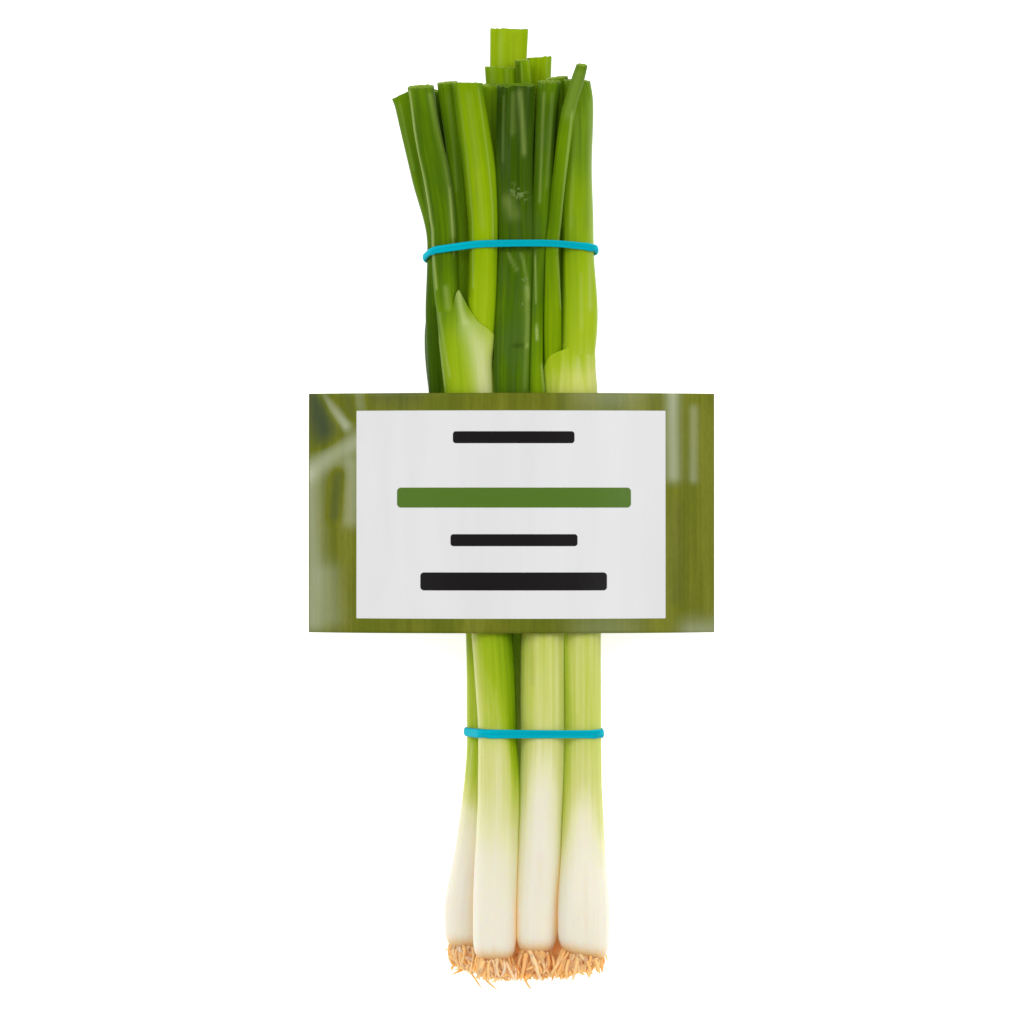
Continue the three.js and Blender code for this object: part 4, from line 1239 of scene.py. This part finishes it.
def root_colours():
    """Dry tan roots, each a little lighter, pinker or browner than the next; light passes through, and
    a faint painted glow lightens the shade among them.
    """
    material, tree, shader = new_material("dry_root")
    fibre = grain_noise(tree, read(tree, "grain", "Vector"), 3000, 260, detail=3.0)
    tan = colour_ramp(tree, read(tree, "tint"), ROOT_COLOURS)
    strands = remap(tree, fibre, 0.35, 0.7, 0.0, 0.22)
    bump = {"Height": fibre, "Strength": 0.4, "Distance": 0.0002}
    feed(tree, shader, {
        "Base Color": blend_colour(tree, strands, tan, ROOT_FIBRE),
        "Normal": add(tree, "ShaderNodeBump", bump).outputs[0],
        "Emission Color": ROOT_GLOW,
        "Emission Strength": 0.06,
        "Roughness": 0.65,
        "Subsurface Weight": 0.5,
        "Subsurface Radius": (2.4, 1.4, 0.6),
        "Subsurface Scale": MM,
        "Specular IOR Level": 0.25,
    })
    return material


dry_root = root_colours()


def root_curve(start, bend, end, width, rng, sway):
    """One root's rings on a curve from its start to its end, drawn towards the bend."""
    t = np.linspace(0, 1, ROOT_RINGS)[:, None]
    line = (1 - t) ** 2 * start + 2 * t * (1 - t) * bend + t * t * end
    swing = np.sin(t * math.pi * rng.uniform(1.2, 2.4) + rng.uniform(0, 3)) - math.sin(1.5)
    line = line + swing * t * sway * rng.normal(0, 1, 3) * (1, 0.3, 1)
    along = np.gradient(line, axis=0)
    along /= np.linalg.norm(along, axis=1)[:, None]
    side = np.cross(along, (0.1, 0.2, 1))
    side /= np.linalg.norm(side, axis=1)[:, None]
    over = np.cross(side, along)
    radius = width / 2 * (1 - 0.4 * t[:, 0] ** 2)
    radius[-1] *= 0.45
    return line, side, over, radius


def hanging_root(number, count, bulb, facts, rng):
    """One root of many: it starts on the bulb's domed foot, and hangs down, out and aside."""
    foot, (_, centre_x, centre_z, width, _) = bulb["foot"], bulb["sections"][0]
    share = math.sqrt((number + 0.5) / count)
    turn = number * math.pi * (3 - math.sqrt(5)) + rng.normal(0, 0.12)
    out = np.array([math.cos(turn), 0, math.sin(turn)])
    aside = np.array([-out[2], 0, out[0]])
    dome = FOOT_DOME * max(0, share - FOOT_EDGE) / (1 - FOOT_EDGE)
    reach = share * width / 2 * ROOT_PLATE_SHARE
    start = np.array([centre_x, foot + 0.2 + dome, centre_z])
    start = start + out * reach + (0, bulb.get("foot_tilt", 0) * out[0] * reach, 0)

    length = facts["length"] * rng.uniform(*ROOT_LENGTHS) * (1.1 - 0.18 * share)
    length *= 1 - facts.get("trim", 0) * share * out[0]
    spread = share * rng.uniform(*ROOT_SPREAD) * length
    drift = rng.normal(0, ROOT_DRIFT) * length
    end = start + out * spread + aside * drift + (facts.get("lean", 0), -length, 0)
    bend = start + out * (spread * rng.uniform(0.6, 1.6) + 0.5 * share)
    bend = bend + aside * (drift * rng.uniform(-1.2, 1.5))
    bend = bend + (0, -length * rng.uniform(0.35, 0.7), 0)
    thick = ROOT_WIDTH * rng.uniform(*ROOT_THICKNESS)
    tint = PALE_TINT if rng.random() < PALE_ROOTS else rng.uniform(*ROOT_TINTS)
    curve = root_curve(start, bend, end, thick, rng, HANGING_SWAY)

    # The tuft is trimmed to the width of its bulb, and a little wider at its tips.
    line, fall = curve[0], np.linspace(0, 1, ROOT_RINGS)
    middle = centre_x + facts.get("lean", 0) * fall**2
    side_room = width / 2 * (TUFT_SHARE + (1 - TUFT_SHARE) * fall)
    line[:, 0] = middle + np.clip(line[:, 0] - middle, -side_room, side_room)
    return curve, tint


def foot_stub(number, bulb, rng):
    """One of the ring of short stubs that sits over the bulb's lower edge."""
    foot, (_, centre_x, centre_z, width, _) = bulb["foot"], bulb["sections"][0]
    turn = (number + rng.uniform(-0.4, 0.4)) / STUBS * 2 * math.pi
    out = np.array([math.cos(turn), 0, math.sin(turn)])
    rise = rng.uniform(-0.6, 1.2) * abs(out[2]) - 0.8 * abs(out[0])
    length = rng.uniform(*STUB_LENGTHS)
    edge = width / 2 * (STUB_RING + 0.07 * rise)
    height = foot + rise + bulb.get("foot_tilt", 0) * out[0] * edge
    start = np.array([centre_x, height, centre_z]) + out * edge
    bend = start + out * 0.25 + (rng.normal(0, 0.3), -length * 0.35, 0)
    end = start + out * rng.uniform(-0.5, 0.3) + (rng.normal(0, 0.7), -length, 0)
    curve = root_curve(start, bend, end, rng.uniform(*STUB_WIDTHS), rng, STUB_SWAY)
    return curve, rng.uniform(*STUB_TINTS)


def grow_tuft(onion, facts, rng):
    """One tuft: many hanging roots, the stubs over them and the bold roots on top, in one mesh."""
    bulb = SHAFTS[onion]
    _, _, centre_z, width, _ = bulb["sections"][0]
    count = ROOTS_HIDDEN if onion in "efg" else ROOTS_SEEN
    curves = [hanging_root(number, count, bulb, facts, rng) for number in range(count)]
    curves += [foot_stub(number, bulb, rng) for number in range(STUBS)]
    for thick, tint, places in facts["bold"]:
        start, bend, end = (np.array(place, float) for place in places)
        curves.append((root_curve(start, bend, end, thick, rng, BOLD_SWAY), tint))

    root = straight_tube(ROOT_RINGS, ROOT_SIDES)
    ring, angle = tube_places(root)
    root_mesh = bpy.data.meshes.new("root")
    root.to_mesh(root_mesh)
    root.free()
    tuft = bmesh.new()
    points, tints, grains = [], [], []
    for (line, side, over, thick), tint in curves:
        tuft.from_mesh(root_mesh)
        flat = ROOT_FLATNESS * np.sin(angle)[:, None] * over[ring]
        placed = line[ring] + thick[ring, None] * (np.cos(angle)[:, None] * side[ring] + flat)
        # Roots are browner where they start, and darker lower in the tuft, a painted shade where they
        # lie under the others.
        start_near = (1 - ring / (ROOT_RINGS - 1)) ** 3
        buried_shade = np.clip((centre_z + width * 0.35 - placed[:, 2]) / (width * 0.5), 0, 1)
        tint = tint + facts.get("tone", 0) - 0.12 * start_near - 0.24 * buried_shade
        points.append(placed)
        tints.append(np.clip(tint, 0, 1))
        grains.append(placed * MM + rng.uniform(0, 5))
    bpy.data.meshes.remove(root_mesh)
    points = np.vstack(points)
    points[:, 2] = np.maximum(points[:, 2], TABLE_GAP)
    values = {"tint": np.concatenate(tints), "grain": np.vstack(grains)}
    return finish_limb(f"onion_{onion}_root_tuft", tuft, points, values)


for onion, facts in TUFTS.items():
    tuft = grow_tuft(onion, facts, np.random.default_rng(ord(onion) * 3))
    face_out(tuft)
    tuft.data.materials.append(dry_root)
    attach(tuft, "root")
    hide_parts(f"onion_{onion}_roots")

# ---- Rubber bands ----
# Two bands of soft blue rubber, stretched taut round the bunch. Each is an oval cord laid on the
# outermost points of the limbs, a little uneven where it bridges from one limb to the next.
BANDS = {
    "lower_band": {
        "height": -67.0, "slope": 0, "tilt": -0.005, "bow": 0, "width": 2.65, "thickness": 1.0,
    },
    "upper_band": {
        "height": 77.9, "slope": 0.2, "tilt": 0.02, "bow": 0.0025, "width": 2.25, "thickness": 1.3,
    },
}
BAND_CLEARANCE = 0.08
BAND_MIDDLE = 12
BAND_STEPS = 240
BAND_SIDES = 16
BAND_SMOOTHING = 14
BAND_REACH = 15
BAND_BLUE = (srgb(0, 152, 170), srgb(0, 184, 204))
BAND_DUST = srgb(24, 192, 210)

# How unevenly thick and wide a band is, as shares, and how far it strays from its line.
BAND_FULLNESS = 0.04
BAND_WAVER = 0.05
BAND_STRAY = 0.10


def outermost(turn, heights):
    """The furthest point of any limb in each direction across the bunch, at each height."""
    best = np.full(len(turn), -1e9)
    across, up = np.zeros(len(turn)), np.zeros(len(turn))
    for limb in limbs:
        low, high = limb["sections"][0][0], limb["sections"][-1][0]
        reach, far_x, far_z = outline_reach(limb["sections"], limb["power"], heights, turn)
        wins = (reach > best) & (heights >= low) & (heights <= high)
        best = np.where(wins, reach, best)
        across, up = np.where(wins, far_x, across), np.where(wins, far_z, up)
    return across, up


def band_rubber():
    """Soft matt rubber, with a faint bloom of dust and fine lines round the band."""
    material, tree, shader = new_material("blue_rubber")
    grain = read(tree, "grain", "Vector")
    lines = grain_noise(tree, grain, 1400, 60, detail=2.0)
    dust = grain_noise(tree, grain, 420, 300, detail=4.0, seed=4.0)
    colour = blend_colour(tree, remap(tree, lines, 0.3, 0.7), *BAND_BLUE)
    colour = blend_colour(tree, remap(tree, dust, 0.5, 0.8, 0.0, 0.15), colour, BAND_DUST)
    bump = {"Height": lines, "Strength": 0.35, "Distance": 0.0002}
    feed(tree, shader, {
        "Base Color": colour,
        "Roughness": remap(tree, dust, 0.3, 0.8, 0.6, 0.75),
        "Normal": add(tree, "ShaderNodeBump", bump).outputs[0],
        "Subsurface Weight": 0.1,
        "Subsurface Radius": (0.3, 0.8, 1.0),
        "Subsurface Scale": MM,
        "Specular IOR Level": 0.06,
        "Specular Tint": (0.3, 1, 1, 1),
    })
    return material


blue_rubber = band_rubber()


def stretch_band(name, facts, rng):
    """A torus of unit size, each ring of which is laid on the taut line."""
    bm = bmesh.new()
    circle = Matrix.Translation((1, 0, 0)) @ Matrix.Rotation(math.radians(90), 4, "X")
    bmesh.ops.create_circle(bm, segments=BAND_SIDES, radius=0.25, matrix=circle)
    bmesh.ops.spin(
        bm, geom=bm.verts[:] + bm.edges[:], cent=(0, 0, 0), axis=(0, 0, 1),
        dvec=(0, 0, 0), angle=2 * math.pi, steps=BAND_STEPS, use_merge=True,
    )
    unit = np.array([v.co for v in bm.verts])
    turn = np.arctan2(unit[:, 1], unit[:, 0])
    step = np.rint(turn / (2 * math.pi) * BAND_STEPS).astype(int) % BAND_STEPS
    around = np.arctan2(unit[:, 2], np.hypot(unit[:, 0], unit[:, 1]) - 1)

    def level(x, z):
        lean = facts["slope"] * (z - BAND_MIDDLE) + facts["tilt"] * x
        return facts["height"] + lean - facts["bow"] * x**2

    steps = np.arange(BAND_STEPS) * 2 * math.pi / BAND_STEPS
    flat = outermost(steps, np.full(BAND_STEPS, facts["height"], float))
    line = np.column_stack(outermost(steps, level(*flat)))
    line = np.column_stack([line, level(*line.T)])
    # A taut cord rounds off the corners that the limbs give it.
    for _ in range(BAND_SMOOTHING):
        line = (np.roll(line, 1, axis=0) + 2 * line + np.roll(line, -1, axis=0)) / 4
    edge = line[step]
    fullness = 1 + BAND_FULLNESS * waves(turn, turn * 0, rng, turns=12, length=60)
    offset = BAND_CLEARANCE + facts["thickness"] / 2 * (1 + np.cos(around) * fullness)
    stray = BAND_STRAY * waves(turn, turn * 0, rng, turns=7, length=60)
    waver = 1 + BAND_WAVER * waves(turn, turn * 0, rng, turns=10, length=60)
    x = edge[:, 0] + np.cos(turn) * offset
    z = edge[:, 1] + np.sin(turn) * offset
    y = edge[:, 2] + stray - facts["width"] / 2 * waver * np.sin(around)
    grain = np.column_stack([np.cos(around), turn * BAND_REACH, np.sin(around)]) * MM
    return finish_limb(name + "_rubber", bm, np.column_stack([x, y, z]), {"grain": grain})


for number, (name, facts) in enumerate(BANDS.items()):
    band = stretch_band(name, facts, np.random.default_rng(70 + number))
    face_out(band)
    band.data.materials.append(blue_rubber)
    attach(band, "root")
    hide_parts(name)

# ---- Film label ----
# A sleeve of thin printed film, folded flat at its two side edges and arched over the onions. The
# print is an olive border, streaked lengthwise, round a white panel with plain bars. The sleeve is
# one ring, extruded along the bunch and laid on the arch, with slight waves and soft creases.

# The folded edges are LABEL_FOLD above the table and the top of the arch LABEL_TOP, a little lower
# towards the leaves. LABEL_REST is the middle and half the width of the strip that lies flat.
LABEL_WIDTH = 121.8
LABEL_LENGTH = 71.7
LABEL_MIDDLE = -1.2
LABEL_FILM = 0.18
LABEL_FOLD = 9
LABEL_TOP = 24.6
LABEL_TAPER = 0.085
LABEL_SHOULDER = 2.4
LABEL_REST = (3, 17)
LABEL_KEEL = 1.5
FILM_SIDES = 400
FILM_STEP = 1.0
FILM_WAVES = 0.10
FILM_SAG = 0.12
FOLD_STIFF = 6
PRINT_EDGE = 0.06 * MM

# Left, right, lower and upper edge of each printed shape, and how round its corners are.
PANEL = (-46.4, 46.1, -32.7, 29.4, 0.2)
GREEN_BARS = [(-34.2, 35.7, 0.4, 6.4, 1.2)]
DARK_BARS = [
    (-17.5, 18.8, 19.6, 23.2, 0.9),
    (-18.2, 19.7, -11.1, -7.5, 0.9),
    (-27.2, 28.5, -24.3, -18.9, 1.1),
]

OLIVE = (srgb(100, 106, 18), srgb(112, 118, 26))
OLIVE_DARK, OLIVE_LIGHT = srgb(84, 98, 14), srgb(134, 136, 50)
OLIVE_WEAVE = srgb(60, 68, 8)
PAINTED_GLARE, SHADE = srgb(196, 202, 176), srgb(40, 56, 56)
PAPER = (srgb(219, 219, 220), srgb(223, 223, 224))
BAR_GREEN, BAR_DARK = srgb(80, 112, 34), srgb(20, 17, 17)

# Creases in the film, with painted glare and painted shade on it: how wide, how deep and how
# much painted glare each gives (below 0, how much painted shade), and its points.
FILM_MARKS = [
    (1.7, 0.30, 0.58, [(-57.1, 35), (-53.7, 29.9), (-49.8, 25.1)]),
    (2.2, 0.20, 0.20, [(-45.2, 36), (-45.4, 31)]),
    (3.2, 0.30, 0.44, [(-61, 11.5), (-56.1, 14.5), (-52.2, 17.3), (-46.4, 20)]),
    (3.4, 0.10, 0.36, [(-60.4, 9), (-60, -8), (-59.6, -34)]),
    (2.6, 0.12, 0.34, [(-48.0, 13), (-48.4, -3)]),
    (4.0, 0.05, 0.20, [(-55, -20), (-54, -32)]),
    (4.8, -0.10, -0.66, [(-59.4, 34), (-58.2, 28), (-56.6, 24)]),
    (1.9, -0.05, -0.36, [(-51.8, 10), (-53, -2)]),
    (1.5, 0.0, -0.25, [(-49.4, 36), (-47.8, 28.4)]),
    (4.0, 0.0, -0.30, [(-39.5, 34.5), (-29, 34.5)]),
    (6.0, 0.0, 0.16, [(23, 34.5), (34, 34.5)]),
    (6.0, 0.0, 0.10, [(23, -36), (34, -36)]),
    (2.1, 0.12, 0.46, [(48.2, 36), (48.2, 24), (48.4, 10)]),
    (1.3, 0.12, 0.26, [(54.7, 30), (54.6, 9)]),
    (3.0, 0.0, -0.14, [(49, 0), (49.4, -26)]),
    (4.0, 0.15, 0.30, [(60, -37), (54, -37)]),
]


def arch(x, upper, y):
    """The height of the film at a place across it, on its upper or its lower sheet."""
    half = LABEL_WIDTH / 2
    share = np.minimum(1, np.abs(x) / half)
    taper = 1 - LABEL_TAPER * y / (LABEL_LENGTH / 2)
    over = LABEL_FOLD + (LABEL_TOP - LABEL_FOLD) * (1 - share**LABEL_SHOULDER) * taper
    middle, flat = LABEL_REST
    span = half - np.sign(x) * middle - flat
    past = np.maximum(0, (np.abs(x - middle) - flat) / span)
    return np.where(upper, over, LABEL_FOLD * np.minimum(1, past) ** LABEL_KEEL)


def label_print():
    """Printed film: where the panel and its bars are, from the place across and along."""
    material, tree, shader = new_material("printed_film")
    place = add(tree, "ShaderNodeTexCoord").outputs["Object"]
    axes = add(tree, "ShaderNodeSeparateXYZ", {0: place}).outputs
    front, painted_glare_and_shade = read(tree, "front"), read(tree, "painted_glare_and_shade")

    def printed_box(low_x, high_x, low_y, high_y, corner):
        """A mask that is 1 inside a box with round corners, in millimetres."""
        middle = ((low_x + high_x) / 2 * MM, (low_y + high_y) / 2 * MM)
        half = ((high_x - low_x) / 2 * MM, (high_y - low_y) / 2 * MM)
        radius = corner * MM
        squares = []
        for k in (0, 1):
            offset = calc(tree, "ABSOLUTE", calc(tree, "SUBTRACT", axes[k], middle[k]))
            away = calc(tree, "MAXIMUM", calc(tree, "SUBTRACT", offset, half[k] - radius), 0.0)
            squares.append(calc(tree, "MULTIPLY", away, away))
        distance = calc(tree, "SQRT", calc(tree, "ADD", *squares))
        within = calc(tree, "SUBTRACT", radius + PRINT_EDGE, distance)
        mask = calc(tree, "DIVIDE", within, 2 * PRINT_EDGE, clamp=True)
        return calc(tree, "MULTIPLY", mask, front)

    def blades(across, along, detail):
        """Noise drawn out along the bunch, as out-of-focus leaves are; features per metre."""
        stretched = add(tree, "ShaderNodeMapping", {"Vector": place, "Scale": (across, along, along)})
        inputs = {"Vector": stretched.outputs[0], "Scale": 1.0, "Detail": detail, "Roughness": 0.55}
        return add(tree, "ShaderNodeTexNoise", inputs).outputs[0]

    fine, broad, weave = blades(700, 9, 3.0), blades(110, 15, 2.0), blades(1300, 420, 1.0)
    olive = blend_colour(tree, remap(tree, fine, 0.3, 0.7), *OLIVE)
    olive = blend_colour(tree, remap(tree, broad, 0.44, 0.64, 0.0, 0.45), olive, OLIVE_DARK)
    olive = blend_colour(tree, remap(tree, broad, 0.5, 0.36, 0.0, 0.35), olive, OLIVE_LIGHT)
    olive = blend_colour(tree, remap(tree, weave, 0.35, 0.75, 0.0, 0.12), olive, OLIVE_WEAVE)
    # Painted glare, pale streaks that stand in for reflections on the crumpled film, and painted shade,
    # both from the film's marks.
    pale = calc(tree, "MULTIPLY", painted_glare_and_shade, remap(tree, broad, 0.3, 0.7, 0.8, 1.2), clamp=True)
    olive = blend_colour(tree, pale, olive, PAINTED_GLARE)
    deep = calc(tree, "MULTIPLY", painted_glare_and_shade, -1.0, clamp=True)
    olive = blend_colour(tree, deep, olive, SHADE)

    paper = blend_colour(tree, remap(tree, broad, 0.3, 0.7), *PAPER)
    colour = blend_colour(tree, printed_box(*PANEL), olive, paper)
    for bar in GREEN_BARS:
        colour = blend_colour(tree, printed_box(*bar), colour, BAR_GREEN)
    for bar in DARK_BARS:
        colour = blend_colour(tree, printed_box(*bar), colour, BAR_DARK)

    bump = {"Height": weave, "Strength": 0.12, "Distance": 0.0002}
    feed(tree, shader, {
        "Base Color": colour,
        "Roughness": remap(tree, broad, 0.3, 0.7, 0.20, 0.30),
        "Normal": add(tree, "ShaderNodeBump", bump).outputs[0],
        "Specular IOR Level": 0.12,
    })
    return material


def wrap_label(rng):
    """Rounds the sleeve from a straight tube, so that it is one closed band of film."""
    steps = math.ceil(LABEL_LENGTH / FILM_STEP)
    bm = straight_tube(steps + 1, FILM_SIDES, closed=False)
    ring, turn = tube_places(bm)
    half = LABEL_WIDTH / 2
    x = half * np.cos(turn)
    y = (ring / steps - 0.5) * LABEL_LENGTH
    upper = np.sin(turn) >= -1e-6
    z = arch(x, upper, y)
    y = y + LABEL_MIDDLE

    # Waves and creases die out at the folds, and the sheet that lies on the table stays flat.
    loose = np.clip((half - np.abs(x)) / FOLD_STIFF, 0, 1) * upper
    dip = FILM_WAVES * waves(x * 0.06, y, rng, turns=3, length=34) - FILM_SAG
    painted_glare_and_shade = np.zeros(len(x))
    for width, depth, glare_and_shade, path in FILM_MARKS:
        near = np.exp(-((from_path(x, y, path) / width) ** 2))
        dip = dip - depth * near
        painted_glare_and_shade = painted_glare_and_shade + glare_and_shade * near
    z = z + dip * loose
    values = {"front": upper.astype(float), "painted_glare_and_shade": np.clip(painted_glare_and_shade, -1, 1) * upper}
    return finish_limb("label_film", bm, np.column_stack([x, y, z]), values)


label = wrap_label(np.random.default_rng(90))
face_out(label)
film = label.modifiers.new("film", "SOLIDIFY")
film.thickness = LABEL_FILM * MM
film.offset = -1
label.data.materials.append(label_print())
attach(label, "root")
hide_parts("label_sleeve")

# ---- Table, light and camera ----
# A plain white table top, lit from below too, in a white studio with a soft box on each side, high
# up, so that nothing glares back at the camera, which looks straight down on the bunch.
bm = bmesh.new()
bmesh.ops.create_grid(bm, x_segments=1, y_segments=1, size=3)
table_mesh = bpy.data.meshes.new("table")
bm.to_mesh(table_mesh)
bm.free()
table = bpy.data.objects.new("table", table_mesh)
bpy.context.scene.collection.objects.link(table)
pale_table, table_tree, table_shader = new_material("pale_table")
feed(table_tree, table_shader, {
    "Base Color": (0.93, 0.93, 0.93, 1),
    "Emission Color": (1, 1, 1, 1),
    "Emission Strength": 0.65,
    "Roughness": 0.8,
    "Specular IOR Level": 0.1,
})
table_mesh.materials.append(pale_table)


def soft_box(name, place, size, power):
    """A rectangular light that faces the middle of the bunch."""
    lamp = bpy.data.lights.new(name, "AREA")
    lamp.shape = "RECTANGLE"
    lamp.size, lamp.size_y = size
    lamp.energy = power
    light = bpy.data.objects.new(name, lamp)
    light.location = place
    light.rotation_euler = Vector(place).to_track_quat("Z", "Y").to_euler()
    bpy.context.scene.collection.objects.link(light)


soft_box("left_soft_box", (-1.15, 0.9, 1.7), (1.0, 1.2), 12.5)
soft_box("right_soft_box", (1.2, 0.7, 1.7), (1.0, 1.2), 14)

world = bpy.data.worlds.new("studio")
bpy.context.scene.world = world
world.use_nodes = True
sky = world.node_tree.nodes["Background"]
feed(world.node_tree, sky, {"Color": (1, 1, 1, 1), "Strength": 0.68})
bpy.context.scene.view_settings.view_transform = "Standard"

CAMERA_FIELD = 0.3072
CAMERA_PLANE = 0.012
CAMERA_AIM = (0.00015, -0.0009)
camera_data = bpy.data.cameras.new("camera")
camera_data.sensor_width = 36
camera_data.lens = 220
camera_height = CAMERA_PLANE + CAMERA_FIELD * camera_data.lens / camera_data.sensor_width
camera = bpy.data.objects.new("camera", camera_data)
camera.location = (*CAMERA_AIM, camera_height)
bpy.context.scene.collection.objects.link(camera)
bpy.context.scene.camera = camera
